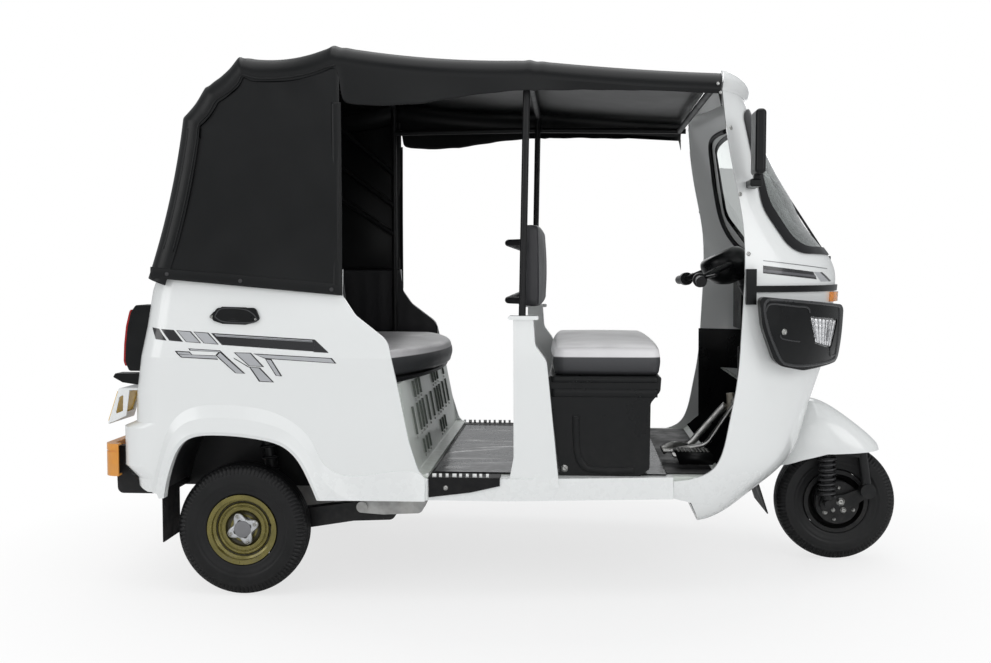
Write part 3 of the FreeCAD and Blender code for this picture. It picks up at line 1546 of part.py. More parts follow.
def main():
    """Builds every node."""
    os.makedirs("parts", exist_ok=True)
    save("front_cowl", front_cowl())
    save("windscreen", windscreen())
    save("windscreen_seal", windscreen_seal())
    save("front_header", front_header())
    save("belt_moulding", belt_moulding())
    save("headlamp_pods", headlamp_pods())
    save("headlamp_lenses", headlamp_lenses())
    save("front_indicators", front_indicators())
    save("wheel_housing", wheel_housing())
    save("dashboard", Part.makeCompound([dashboard()] + front_lining().Solids))
    save("column_tube", column_tube())
    save("mirrors", pair(mirror()))
    save("wiper", wiper())

    save("floor_pan", floor_pan())
    save("side_frames", pair(side_frame()))
    save("underframe", underframe())
    save("arm_brackets", pair(arm_bracket()))
    save("floor_mats", Part.makeCompound(floor_mat().Solids + [step_trim(), mirrored(step_trim())]))
    save("foot_controls", Part.makeCompound([brake_pedal(), foot_rest()]))

    quarter = rear_quarter()
    save("rear_quarter_right", quarter)
    save("rear_quarter_left", mirrored(quarter))
    save("rear_panel", rear_panel())
    save("engine_door", engine_door())
    save("rear_bulkhead", rear_bulkhead())
    save("seat_deck", seat_deck())
    save("wheel_arch_liners", pair(wheel_arch_liner()))
    save("side_vents", pair(side_vent()))
    save("tail_lamps", Part.makeCompound([tail_lamp(), mirrored(tail_lamp()), plate_lamp()]))
    save("tail_lenses", pair(tail_lens()))
    save("plate_holder", plate_holder())
    save("number_plate", number_plate())
    save("rear_bumper", rear_bumper())
    save("mud_flaps", Part.makeCompound([rear_mud_flap(), mirrored(rear_mud_flap()), front_mud_flap()]))

    save("engine_block", engine_block())
    save("drive_shafts", pair(drive_shaft()))
    save("trailing_arms", pair(trailing_arm()))
    save("rear_shocks", pair(rear_shock()))
    for name, side in (("right", -1), ("left", 1)):
        y = side * REAR_WHEEL_Y
        save(f"rear_tyre_{name}", tyre(0, y))
        save(f"rear_rim_{name}", rim(0, y, side))
        save(f"rear_hub_{name}", hub(0, y, side, 80.0, 8.0))

    save("canopy", canopy())
    save("canopy_frame", canopy_frame())
    save("driver_seat_box", driver_seat_box())
    save("driver_cushion", driver_cushion())
    save("driver_backrest", driver_backrest())
    save("rear_cushion", rear_cushion())
    save("rear_seat_back", rear_seat_back())

    save("handlebar", handlebar())
    save("instrument_nacelle", nacelle())
    save("front_fork", fork())
    save("front_arm", front_arm())
    save("front_shock", front_shock())
    save("front_mudguard", front_mudguard())
    save("front_tyre", tyre(WHEELBASE, 0))
    save("front_rim", rim(WHEELBASE, 0, 1))
    save("front_hub", hub(WHEELBASE, 0, 1, 76.0, 8.0))


main()
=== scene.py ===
import math

import bmesh
import bpy
import numpy as np
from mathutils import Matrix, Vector
from mathutils.bvhtree import BVHTree


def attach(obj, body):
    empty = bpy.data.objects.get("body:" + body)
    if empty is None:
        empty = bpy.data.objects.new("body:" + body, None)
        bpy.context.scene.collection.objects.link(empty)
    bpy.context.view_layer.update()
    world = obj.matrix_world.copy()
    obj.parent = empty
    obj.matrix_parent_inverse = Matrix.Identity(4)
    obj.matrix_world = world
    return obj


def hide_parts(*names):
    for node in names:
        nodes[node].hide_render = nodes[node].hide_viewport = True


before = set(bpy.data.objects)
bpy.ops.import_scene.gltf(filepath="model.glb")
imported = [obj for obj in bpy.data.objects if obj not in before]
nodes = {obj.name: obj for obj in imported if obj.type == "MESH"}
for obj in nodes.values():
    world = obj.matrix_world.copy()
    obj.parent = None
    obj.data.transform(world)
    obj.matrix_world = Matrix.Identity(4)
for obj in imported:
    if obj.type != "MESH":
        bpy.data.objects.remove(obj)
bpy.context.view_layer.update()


# The scale.
# Pieces are drawn in millimetres: forwards from the rear axle, leftwards from the middle, and up from the
# ground. The row's frame is in metres, with its origin midway along the vehicle. The studio, the walls'
# thickness and the films' lift are in metres too.

AXLE = -870.0
WHEEL_BASE = 1985
HALF_TRACK = 575
WHEEL_HIGH = 210


def row_metres(x, y, z):
    """Millimetres from the rear axle, as metres in the row's frame."""
    return np.stack([x + AXLE, y + 0 * x, z + 0 * x], -1) / 1000


# The studio.
# A camera three-quarters of a metre above the sill line looks square at the right side, a little down
# and a little to the left. A pale floor runs out to white, and wide soft lamps hang above and beside it.

camera_data = bpy.data.cameras.new("side_camera")
camera_data.lens = 40.79
camera_data.sensor_width = 36.0
camera = bpy.data.objects.new("side_camera", camera_data)
camera.location = (0.1717, -4.0778, 1.0369)
camera.rotation_euler = (math.radians(90 - 3.183), 0, math.radians(3.866))
bpy.context.collection.objects.link(camera)
bpy.context.scene.camera = camera
bpy.context.scene.view_settings.view_transform = "Standard"


def surface(name, *grids, closed_rows=False, closed_columns=False):
    """A smooth mesh through one or more arrays of points in rows and columns, four corners to a face.
    A closed direction joins its last row or column to its first."""
    points, faces, before = [], [], 0
    for grid in grids:
        rows, columns = grid.shape[:2]
        r = np.arange(rows if closed_rows else rows - 1)
        c = np.arange(columns if closed_columns else columns - 1)
        r, c = np.meshgrid(r, c, indexing="ij")
        r2, c2 = (r + 1) % rows, (c + 1) % columns
        cells = [r * columns + c, r2 * columns + c, r2 * columns + c2, r * columns + c2]
        faces.append(np.stack(cells, -1).reshape(-1, 4) + before)
        points.append(grid.reshape(-1, 3))
        before += rows * columns
    mesh = bpy.data.meshes.new(name)
    mesh.from_pydata(np.concatenate(points).tolist(), [], np.concatenate(faces).tolist())
    mesh.shade_smooth()
    piece = bpy.data.objects.new(name, mesh)
    bpy.context.collection.objects.link(piece)
    return piece


def put(net, kind, settings=None, **values):
    """A new shader node of a kind, with its own settings and then the values of its named inputs."""
    made = net.nodes.new("ShaderNode" + kind)
    for name, value in (settings or {}).items():
        setattr(made, name, value)
    for label, value in values.items():
        made.inputs[label.replace("_", " ")].default_value = value
    return made


def wire(net, *links):
    """Joins sockets, each link given as the node it leaves, its output, the node it enters and its input."""
    for start, output, end, entry in links:
        net.links.new(start.outputs[output], end.inputs[entry])


floor_reach = np.linspace(-9.0, 9.0, 37)
floor_x, floor_y = np.meshgrid(floor_reach, floor_reach, indexing="ij")
floor = surface("studio_floor", np.stack([floor_x, floor_y, np.full_like(floor_x, -0.0008)], -1))
floor_paint = bpy.data.materials.new("pale_floor")
floor_paint.use_nodes = True
net = floor_paint.node_tree
net.nodes.clear()
floor_grey = put(net, "BsdfDiffuse", Color=(0.86, 0.86, 0.86, 1))
floor_white = put(net, "Emission", Color=(1, 1, 1, 1), Strength=1.0)
floor_place = put(net, "TexCoord")
floor_far = put(net, "VectorMath", {"operation": "LENGTH"})
floor_fade = put(net, "MapRange", From_Min=1.0, From_Max=2.1, To_Min=0.72, To_Max=1.0)
floor_rays = put(net, "LightPath")
floor_seen = put(net, "Math", {"operation": "MULTIPLY"})
floor_mix = put(net, "MixShader")
wire(
    net,
    (floor_place, "Object", floor_far, 0),
    (floor_far, "Value", floor_fade, "Value"),
    (floor_fade, "Result", floor_seen, 0),
    (floor_rays, "Is Camera Ray", floor_seen, 1),
    (floor_seen, "Value", floor_mix, "Fac"),
    (floor_grey, "BSDF", floor_mix, 1),
    (floor_white, "Emission", floor_mix, 2),
    (floor_mix, "Shader", put(net, "OutputMaterial"), "Surface"),
)
floor.data.materials.append(floor_paint)

world = bpy.data.worlds.new("white_studio")
bpy.context.scene.world = world
world.use_nodes = True
net = world.node_tree
net.nodes.clear()
world_light = put(net, "Background", Color=(0.96, 0.98, 1.0, 1), Strength=0.42)
world_white = put(net, "Background", Color=(1, 1, 1, 1), Strength=1.0)
world_rays = put(net, "LightPath")
world_seen = put(net, "Math", {"operation": "MAXIMUM"})
world_mix = put(net, "MixShader")
wire(
    net,
    (world_rays, "Is Camera Ray", world_seen, 0),
    (world_rays, "Is Transmission Ray", world_seen, 1),
    (world_seen, "Value", world_mix, "Fac"),
    (world_light, "Background", world_mix, 1),
    (world_white, "Background", world_mix, 2),
    (world_mix, "Shader", put(net, "OutputWorld"), "Surface"),
)


def soft_lamp(name, place, aim, size, watts):
    """A rectangular soft box at a place, turned so that its face looks at the aim."""
    data = bpy.data.lights.new(name, "AREA")
    data.shape = "RECTANGLE"
    data.size, data.size_y = size
    data.energy = watts
    lamp = bpy.data.objects.new(name, data)
    lamp.location = place
    x, y, z = np.subtract(aim, place)
    lamp.rotation_euler = (math.atan2(math.hypot(x, y), -z), 0, math.atan2(y, x) - math.pi / 2)
    bpy.context.collection.objects.link(lamp)


soft_lamp("roof_softbox", (0.2, 0.0, 4.6), (0.0, 0.0, 0.0), (5.5, 4.0), 108)
soft_lamp("front_softbox", (4.2, -3.2, 2.6), (0.2, 0.0, 0.8), (3.0, 2.6), 56)
soft_lamp("rear_softbox", (-4.2, -3.4, 2.4), (-0.2, 0.0, 0.8), (3.0, 2.6), 50)
soft_lamp("side_softbox", (0.4, -5.6, 2.9), (0.0, 0.0, 0.9), (5.0, 2.0), 26)
soft_lamp("low_softbox", (0.9, -6.4, 1.1), (0.4, 0.0, 0.9), (4.0, 1.6), 20)
soft_lamp("far_softbox", (0.0, 5.0, 3.0), (0.0, 0.0, 0.9), (5.0, 2.4), 50)


# White body panels.
# Pressed steel sheet under several coats of white paint and a clear gloss. The cowl, the side frames,
# the tub behind and its engine door are spot welded and bolted together on the frame.


def group(name, inputs, outputs):
    """A shader node group with named sockets: inputs are name, kind and value, outputs name and kind."""
    made = bpy.data.node_groups.new(name, "ShaderNodeTree")
    for label, kind, value in inputs:
        socket = made.interface.new_socket(name=label, in_out="INPUT", socket_type="NodeSocket" + kind)
        socket.default_value = value
    for label, kind in outputs:
        made.interface.new_socket(name=label, in_out="OUTPUT", socket_type="NodeSocket" + kind)
    return made, made.nodes.new("NodeGroupInput"), made.nodes.new("NodeGroupOutput")


def build_patches():
    """Slow clouds over a surface: a noise in Object coordinates, spread to run from low to high."""
    made, into, out = group(
        "slow_patches",
        [("Scale", "Float", 6.0), ("Low", "Float", 0.0), ("High", "Float", 1.0)],
        [("Value", "Float")],
    )
    noise = put(made, "TexNoise", Detail=3.0, Roughness=0.55)
    spread = put(made, "MapRange", From_Min=0.36, From_Max=0.64)
    wire(
        made,
        (put(made, "TexCoord"), "Object", noise, "Vector"),
        (into, "Scale", noise, "Scale"),
        (noise, "Fac", spread, "Value"),
        (into, "Low", spread, "To Min"),
        (into, "High", spread, "To Max"),
        (spread, "Result", out, "Value"),
    )
    return made


def build_dust():
    """Road dust: thickest at a low height, gone above a high one, broken up by a fine noise."""
    made, into, out = group(
        "road_dust",
        [
            ("Color", "Color", (0.5, 0.5, 0.5, 1)),
            ("Dust", "Color", (0.30, 0.27, 0.23, 1)),
            ("Low", "Float", 0.1),
            ("High", "Float", 0.6),
            ("Amount", "Float", 0.3),
        ],
        [("Color", "Color"), ("Mask", "Float")],
    )
    place = put(made, "TexCoord")
    apart = put(made, "SeparateXYZ")
    height = put(made, "MapRange", To_Min=1.0, To_Max=0.0)
    noise = put(made, "TexNoise", Scale=38.0, Detail=5.0, Roughness=0.65)
    broken = put(made, "MapRange", From_Min=0.40, From_Max=0.70)
    times = put(made, "Math", {"operation": "MULTIPLY"})
    share = put(made, "Math", {"operation": "MULTIPLY"})
    mix = put(made, "Mix", {"data_type": "RGBA"})
    wire(
        made,
        (place, "Object", apart, "Vector"),
        (place, "Object", noise, "Vector"),
        (apart, "Z", height, "Value"),
        (into, "Low", height, "From Min"),
        (into, "High", height, "From Max"),
        (noise, "Fac", broken, "Value"),
        (height, "Result", times, 0),
        (broken, "Result", times, 1),
        (times, "Value", share, 0),
        (into, "Amount", share, 1),
        (share, "Value", mix, "Factor"),
        (into, "Color", mix, "A"),
        (into, "Dust", mix, "B"),
        (mix, "Result", out, "Color"),
        (share, "Value", out, "Mask"),
    )
    return made


def build_grain():
    """Small cells like the grain of coated cloth or moulded plastic, over a finer noise."""
    made, into, out = group(
        "fine_grain", [("Scale", "Float", 600.0), ("Cells", "Float", 0.6)], [("Height", "Float")]
    )
    place = put(made, "TexCoord")
    cells = put(made, "TexVoronoi", {"feature": "SMOOTH_F1"}, Smoothness=0.4)
    noise = put(made, "TexNoise", Detail=2.0)
    mix = put(made, "Mix", {"data_type": "FLOAT"})
    wire(
        made,
        (place, "Object", cells, "Vector"),
        (place, "Object", noise, "Vector"),
        (into, "Scale", cells, "Scale"),
        (into, "Scale", noise, "Scale"),
        (into, "Cells", mix, "Factor"),
        (noise, "Fac", mix, "A"),
        (cells, "Distance", mix, "B"),
        (mix, "Result", out, "Height"),
    )
    return made


slow_patches = build_patches()
road_dust = build_dust()
fine_grain = build_grain()


def finish(
    name,
    colour,
    rough=(0.30, 0.36),
    second=None,
    metal=0.0,
    coat=0.0,
    coat_rough=0.06,
    patches=5.0,
    grain=(700.0, 0.2, 0.1),
    dust=(0.0, 0.5, 0.0),
    dust_colour=(0.30, 0.27, 0.23),
    specular=0.5,
):
    """A solid finish: the colour drifts to a second one in slow patches and takes road dust low down,
    the roughness drifts between two values with the same patches, and a fine grain stands on it. Grain
    is its scale, share of cells and strength. Dust is its low and high heights and its amount."""
    made = bpy.data.materials.new(name)
    made.use_nodes = True
    net = made.node_tree
    skin = net.nodes["Principled BSDF"]
    skin.inputs["Metallic"].default_value = metal
    skin.inputs["Coat Weight"].default_value = coat
    skin.inputs["Coat Roughness"].default_value = coat_rough
    skin.inputs["Specular IOR Level"].default_value = specular
    other = second or tuple(0.93 * c for c in colour)
    clouds = put(net, "Group", {"node_tree": slow_patches}, Scale=patches)
    blend = put(net, "Mix", {"data_type": "RGBA"}, A=(*colour, 1), B=(*other, 1))
    dirt = put(net, "Group", {"node_tree": road_dust}, Low=dust[0], High=dust[1], Amount=dust[2])
    dirt.inputs["Dust"].default_value = (*dust_colour, 1)
    gloss = put(net, "MapRange", To_Min=rough[0], To_Max=rough[1])
    dull = put(net, "Mix", {"data_type": "FLOAT"}, B=0.9)
    cells = put(net, "Group", {"node_tree": fine_grain}, Scale=grain[0], Cells=grain[1])
    bump = put(net, "Bump", Strength=grain[2], Distance=0.0006)
    wire(
        net,
        (clouds, "Value", blend, "Factor"),
        (blend, "Result", dirt, "Color"),
        (dirt, "Color", skin, "Base Color"),
        (clouds, "Value", gloss, "Value"),
        (gloss, "Result", dull, "A"),
        (dirt, "Mask", dull, "Factor"),
        (dull, "Result", skin, "Roughness"),
        (cells, "Height", bump, "Height"),
        (bump, "Normal", skin, "Normal"),
    )
    return made


def dress(material, *names):
    """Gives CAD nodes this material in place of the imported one."""
    for node in names:
        nodes[node].data.materials.clear()
        nodes[node].data.materials.append(material)


white_paint = finish(
    "white_gloss_paint", (0.83, 0.845, 0.84), second=(0.828, 0.843, 0.838), rough=(0.27, 0.272),
    coat=0.6, coat_rough=0.07, patches=3.0, grain=(90.0, 0.0, 0.04), dust=(0.22, 0.42, 0.05),
)
dress(white_paint, "front_cowl", "front_header", "wheel_housing", "side_frames", "front_mudguard")
dress(white_paint, "rear_quarter_right", "rear_quarter_left", "rear_panel", "engine_door", "plate_holder")
inner_paint = finish(
    "pale_inner_paint", (0.64, 0.68, 0.64), rough=(0.36, 0.44), coat=0.35, patches=4.0,
    grain=(90.0, 0.0, 0.04), dust=(0.36, 0.6, 0.25),
)
dress(inner_paint, "floor_pan", "rear_bulkhead")


# Black frame and running gear.
# Welded steel tube and channel in black chassis paint: the underframe, the arms, the dampers and the
# canopy's hoops. Road dust gathers on whatever is low.

frame_paint = finish(
    "black_chassis_paint", (0.008, 0.0085, 0.009), second=(0.013, 0.013, 0.014), rough=(0.36, 0.50),
    coat=0.1, coat_rough=0.2, patches=9.0, grain=(400.0, 0.1, 0.12), dust=(0.10, 0.42, 0.06), specular=0.2,
)
dress(frame_paint, "underframe", "seat_deck", "wheel_arch_liners", "canopy_frame", "wiper")
dress(frame_paint, "drive_shafts", "trailing_arms", "rear_shocks")
dress(frame_paint, "column_tube", "front_fork", "front_arm", "front_shock", "front_rim")


# Black moulded plastic.
# Injection moulded polypropylene with a fine spark-eroded grain: headlamp pods, belt moulding, dashboard,
# seat box, mirrors, vents, tail lamp housings and the instrument nacelle.

moulded_black = finish(
    "black_moulded_plastic", (0.0055, 0.006, 0.0065), second=(0.007, 0.0075, 0.008), rough=(0.27, 0.33),
    patches=14.0, grain=(900.0, 0.5, 0.12), dust=(0.35, 0.6, 0.02), specular=0.22,
)
dress(moulded_black, "belt_moulding", "headlamp_pods", "dashboard", "mirrors", "side_vents", "tail_lamps")
dress(moulded_black, "driver_seat_box", "instrument_nacelle")
grip_rubber = finish(
    "black_grip_rubber", (0.009, 0.009, 0.010), rough=(0.38, 0.48), patches=30.0, grain=(1200.0, 0.6, 0.2),
    specular=0.25,
)
dress(grip_rubber, "handlebar")
seal_rubber = finish(
    "black_seal_rubber", (0.006, 0.006, 0.007), rough=(0.28, 0.36), patches=20.0, grain=(800.0, 0.3, 0.08),
    specular=0.25,
)
dress(seal_rubber, "windscreen_seal")
mat_rubber = finish(
    "black_mat_rubber", (0.012, 0.012, 0.013), rough=(0.42, 0.6), patches=16.0, grain=(500.0, 0.3, 0.2),
    dust=(0.15, 0.45, 0.08), specular=0.12,
)
dress(mat_rubber, "mud_flaps", "floor_mats")


# Bare and cast metal.
# Cast alloy in the engine and the arms' brackets, silver paint on the rear hubs, darker paint on the
# front one, and zinc-plated steel in the foot controls.

cast_alloy = finish(
    "cast_alloy", (0.46, 0.46, 0.45), second=(0.36, 0.36, 0.36), rough=(0.38, 0.55), metal=1.0,
    patches=20.0, grain=(300.0, 0.2, 0.35), dust=(0.12, 0.5, 0.4),
)
dress(cast_alloy, "engine_block", "arm_brackets")
hub_alloy = finish(
    "silver_hub_paint", (0.62, 0.63, 0.64), second=(0.52, 0.53, 0.55), rough=(0.30, 0.42), metal=0.7,
    patches=30.0, grain=(260.0, 0.2, 0.2),
)
dress(hub_alloy, "rear_hub_right", "rear_hub_left")
dark_hub = finish(
    "dark_hub_paint", (0.05, 0.05, 0.052), rough=(0.3, 0.45), metal=0.5, patches=30.0, grain=(260.0, 0.2, 0.2)
)
dress(dark_hub, "front_hub")
plated_steel = finish(
    "zinc_plated_steel", (0.50, 0.50, 0.49), second=(0.42, 0.42, 0.40), rough=(0.26, 0.42), metal=1.0,
    patches=40.0, grain=(500.0, 0.1, 0.1), dust=(0.38, 0.6, 0.15),
)
dress(plated_steel, "foot_controls")


# Coloured parts.
# The bumper is a folded steel bar in orange-yellow enamel, the rear rims are olive-gold, and the number
# plate is a blank yellow sheet.

bumper_enamel = finish(
    "orange_bumper_enamel", (0.80, 0.33, 0.035), second=(0.72, 0.28, 0.03), rough=(0.30, 0.40), coat=0.5,
    patches=7.0, grain=(120.0, 0.0, 0.06), dust=(0.36, 0.52, 0.15),
)
dress(bumper_enamel, "rear_bumper")
rim_gold = finish(
    "olive_gold_rim_paint", (0.20, 0.17, 0.042), second=(0.15, 0.13, 0.032), rough=(0.24, 0.32), metal=0.65,
    coat=0.4, patches=18.0, grain=(240.0, 0.0, 0.08), dust=(0.08, 0.2, 0.2),
)
dress(rim_gold, "rear_rim_right", "rear_rim_left")
plate_yellow = finish(
    "blank_plate_yellow", (0.85, 0.52, 0.03), rough=(0.35, 0.45), coat=0.4, patches=9.0,
    grain=(150.0, 0.0, 0.05),
)
dress(plate_yellow, "number_plate")


# Glass and lenses.
# Clear glass in the windscreen, clear polycarbonate over the headlamps, amber and red acrylic in the
# indicators and the tail lamps.


def clear_pane(name, colour, rough=0.02, ior=1.5, through=1.0, coat=0.0):
    """A see-through finish, with a faint drift in its roughness where hands and cloths have passed."""
    made = bpy.data.materials.new(name)
    made.use_nodes = True
    net = made.node_tree
    skin = net.nodes["Principled BSDF"]
    skin.inputs["Base Color"].default_value = (*colour, 1)
    skin.inputs["IOR"].default_value = ior
    skin.inputs["Transmission Weight"].default_value = through
    skin.inputs["Coat Weight"].default_value = coat
    clouds = put(net, "Group", {"node_tree": slow_patches}, Scale=4.0, Low=rough, High=rough + 0.006)
    wire(net, (clouds, "Value", skin, "Roughness"))
    return made


screen_glass = clear_pane("windscreen_glass", (0.42, 0.44, 0.435), rough=0.0)
dress(screen_glass, "windscreen")
lens_clear = clear_pane("clear_lamp_lens", (0.96, 0.97, 0.98), rough=0.01, ior=1.45)
dress(lens_clear, "headlamp_lenses")
lens_amber = clear_pane("amber_lamp_lens", (1.0, 0.42, 0.03), rough=0.05, through=0.6)
dress(lens_amber, "front_indicators")
lens_red = clear_pane("red_lamp_lens", (0.55, 0.008, 0.008), rough=0.06, through=0.35, coat=0.6)
dress(lens_red, "tail_lenses")


# Tyres.
# Three cross-ply tyres of the same small size, black rubber moulded with ribs round the tread and a row
# of short slots across each shoulder, greyer where the road has scrubbed them.


def tyre_surface(name, centre):
    """The closed section of a tyre carried round its axle. The centre is in the row's frame, but in
    millimetres. The section runs up one sidewall, over the tread, down the other and back inside. Tread
    grooves lower it where they fall: four that wind a little round the tyre, and the slots across each
    shoulder."""
    slot_count, outer_steps, inner_steps = 92, 84, 14
    around = np.linspace(0, 2 * np.pi, slot_count * 5, endpoint=False)
    right_side = [
        (113, -38), (118, -42), (126, -43), (138, -47.5), (160, -52), (178, -51.5), (189, -49), (197, -45.5),
        (203.5, -39), (207, -30), (208.8, -18),
    ]
    left_side = [(r, -y) for r, y in reversed(right_side)]
    inside = [
        (116, 34), (140, 40), (170, 43), (192, 36), (199, 0), (192, -36), (170, -43), (140, -40), (116, -34)
    ]
    loop = np.array([*right_side, (209.6, 0), *left_side, *inside, right_side[0]], float)
    along = np.concatenate([[0], np.cumsum(np.hypot(*np.diff(loop, axis=0).T))])
    outer = along[2 * len(right_side)]
    outer_places = np.linspace(0, outer, outer_steps, endpoint=False)
    steps = np.concatenate([outer_places, np.linspace(outer, along[-1], inner_steps, endpoint=False)])
    radius = np.interp(steps, along, loop[:, 0])
    aside = np.interp(steps, along, loop[:, 1])
    last = outer_steps - 1
    for _ in range(2):
        radius[1:last] = 0.25 * radius[: last - 1] + 0.5 * radius[1:last] + 0.25 * radius[2 : last + 1]
        aside[1:last] = 0.25 * aside[: last - 1] + 0.5 * aside[1:last] + 0.25 * aside[2 : last + 1]
    tread = np.zeros_like(radius)
    tread[:outer_steps] = 1.0
    turn, where = np.meshgrid(around, np.arange(len(steps)), indexing="ij")
    r, y, top = radius[where], aside[where], tread[where]
    wave = 1.6 * np.sin(slot_count / 2 * turn)
    grooves = sum(np.exp(-(((y - at - wave) / 1.9) ** 4)) for at in (-24, -8, 8, 24)) * (r > 200)
    phase = (turn * slot_count / (2 * np.pi)) % 1.0
    shoulder = np.clip((np.abs(y) - 34) / 3, 0, 1) * np.clip((r - 180) / 3, 0, 1)
    slots = ((phase > 0.3) & (phase < 0.7)) * shoulder
    step_rib = 1.5 * np.exp(-(((r - 151) / 2.0) ** 2)) - 0.9 * np.exp(-(((r - 143) / 1.6) ** 2))
    step_rib = step_rib + 1.3 * np.exp(-(((r - 178) / 1.5) ** 2))
    depth = top * (4.0 * np.clip(grooves, 0, 1) + 3.4 * slots)
    r = r - depth * np.clip((r - 150) / 50, 0, 1)
    y = y + np.sign(y) * top * (step_rib * (np.abs(y) > 44) - 3.6 * slots)
    points = np.stack([centre[0] + r * np.cos(turn), centre[1] + y, centre[2] + r * np.sin(turn)], -1) / 1000
    return surface(name, points, closed_rows=True, closed_columns=True)


tyre_rubber = finish(
    "tyre_rubber", (0.005, 0.0052, 0.0055), second=(0.008, 0.008, 0.0085), rough=(0.36, 0.50), patches=14.0,
    grain=(600.0, 0.3, 0.25), dust=(0.0, 0.14, 0.2), dust_colour=(0.05, 0.048, 0.045), specular=0.30,
)
for tyre_name, tyre_centre, tyre_body, stands_for in (
    ("ribbed_tyre_front", (AXLE + WHEEL_BASE, 0, WHEEL_HIGH), "front_wheel", "front_tyre"),
    ("ribbed_tyre_right", (AXLE, -HALF_TRACK, WHEEL_HIGH), "rear_wheel_right", "rear_tyre_right"),
    ("ribbed_tyre_left", (AXLE, HALF_TRACK, WHEEL_HIGH), "rear_wheel_left", "rear_tyre_left"),
):
    tyre = tyre_surface(tyre_name, tyre_centre)
    tyre.data.flip_normals()
    tyre.data.materials.append(tyre_rubber)
    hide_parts(stands_for)
    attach(tyre, tyre_body)


# The soft top.
# One cover of black coated cloth is stretched over five bows and laced to the tub. Its roof skin laps
# over the side panels along a welded seam, and a hem closes each free edge.

def top_line(count):
    """The cover from the side, as millimetres from the rear axle: straight runs from hem to bow to bow to
    header, each pulled in by its sag as a parabola, then evened out over a tube's width. With it come the
    outward directions, evened out further, so that lines drawn inside it never cross."""
    knots = np.array(
        [(-299, 1010), (-178, 1512), (-106, 1606), (4, 1700), (302, 1730), (913, 1678), (1492, 1632)], float
    )
    sags = np.array([13, 5, 8, 24, 15, 5], float)
    runs = np.diff(knots, axis=0)
    lengths = np.hypot(*runs.T)
    along = np.concatenate([[0], np.cumsum(lengths)])
    s = np.linspace(0, along[-1], count)
    k = np.clip(np.searchsorted(along, s, side="right") - 1, 0, len(runs) - 1)
    t = (s - along[k]) / lengths[k]
    way = runs[k] / lengths[k][:, None]
    out = np.stack([-way[:, 1], way[:, 0]], -1)
    line = knots[k] + runs[k] * t[:, None] - out * (sags[k] * 4 * t * (1 - t))[:, None]

    def evened(values, width):
        """A running mean over a width, with the ends held."""
        n = max(1, int(width / (s[1] - s[0]) / 2))
        padded = np.concatenate([np.repeat(values[:1], n, 0), values, np.repeat(values[-1:], n, 0)])
        total = np.cumsum(np.concatenate([np.zeros((1, 2)), padded]), axis=0)
        return (total[2 * n + 1 :] - total[: -2 * n - 1]) / (2 * n + 1)

    line[1:-1] = evened(line, 16)[1:-1]
    slope = np.gradient(line, axis=0)
    normal = np.stack([-slope[:, 1], slope[:, 0]], -1)
    normal = evened(normal / np.hypot(*normal.T)[:, None], 150)
    normal /= np.hypot(*normal.T)[:, None]
    return line, normal


HALF_WIDTH = 637.0
EDGE_RADIUS = 58.0
HEM_REAR = (-274, 1011)
HEM_FRONT = (327, 956)
line, normal = top_line(520)
valance = [
    (327, 1538), (344, 1546), (450, 1538), (576, 1540), (730, 1567), (913, 1580), (1200, 1577),
    (1482, 1574), (1489, 1540), (1492, 1527),
]


def roof_skin():
    """Rows follow the top line. Across each row the cloth is flat with a slight crown, turns down round a
    quarter circle at the roof's edge, then hangs: to the lap seam beside the side panels, and to the
    valance's edge over the doorways. Small folds fan out where the cloth turns round a bow's end."""
    flat = np.linspace(0, 1, 30)
    turn = np.linspace(0, np.pi / 2, 14)[1:]
    hang = np.linspace(0, 1, 14)[1:]
    side = HALF_WIDTH - EDGE_RADIUS
    y_half = np.concatenate([side * flat, side + EDGE_RADIUS * np.sin(turn), np.full(len(hang), HALF_WIDTH)])
    drop = np.concatenate([0 * flat, EDGE_RADIUS * (1 - np.cos(turn)), EDGE_RADIUS + 0 * hang])
    crown = np.concatenate([9 * (1 - flat**2), 0 * turn, 0 * hang])
    share = np.concatenate([0 * flat, 0 * turn, hang])
    x0, z0 = line[:, 0], line[:, 1]
    over_door = 1 / (1 + np.exp(-(x0 - 331) / 4.0))
    edge_z = np.interp(x0, *np.array(valance, float).T)
    ragged = 5 * np.sin(x0 / 41.0) + 3 * np.sin(x0 / 17.0 + 1)
    lap = 17 + 1.2 * np.sin(x0 / 23.0)
    halves = []
    for sign in (-1, 1):
        x = x0[:, None] + normal[:, :1] * (crown - drop)[None, :]
        z = z0[:, None] + normal[:, 1:] * (crown - drop)[None, :]
        fall = z0 - EDGE_RADIUS * normal[:, 1] - edge_z - 0.25 * ragged
        hang_x = -normal[:, 0] * lap * (1 - over_door)
        hang_z = -(normal[:, 1] * lap) * (1 - over_door) - np.clip(fall, 10, 400) * over_door
        x = x + hang_x[:, None] * share[None, :]
        z = z + hang_z[:, None] * share[None, :]
        swing = over_door[:, None] * share[None, :] * (3 * np.sin(x0 / 60.0 + sign)[:, None] - 6)
        y = sign * (y_half[None, :] + swing)
        halves.append(np.stack([x, y, z], -1))
    whole = np.concatenate([halves[0][:, ::-1], halves[1][:, 1:]], axis=1)
    x, y, z = whole[..., 0], whole[..., 1], whole[..., 2]
    near = np.clip((np.abs(y) - 430) / 150, 0, 1) ** 2
    pull = 0
    for at in (-100, 10, 318, 925):
        pull = pull + np.exp(-(((x - at) / 34.0) ** 2)) * np.sin((x - at) / 7.5 + np.abs(y) / 60.0)
    z = z + 1.6 * near * pull
    z = z + 1.8 * np.sin(x / 83.0 + y / 210.0) * np.sin(y / 130.0) * (x > 60) * (1 - near)
    return row_metres(x, y, z)


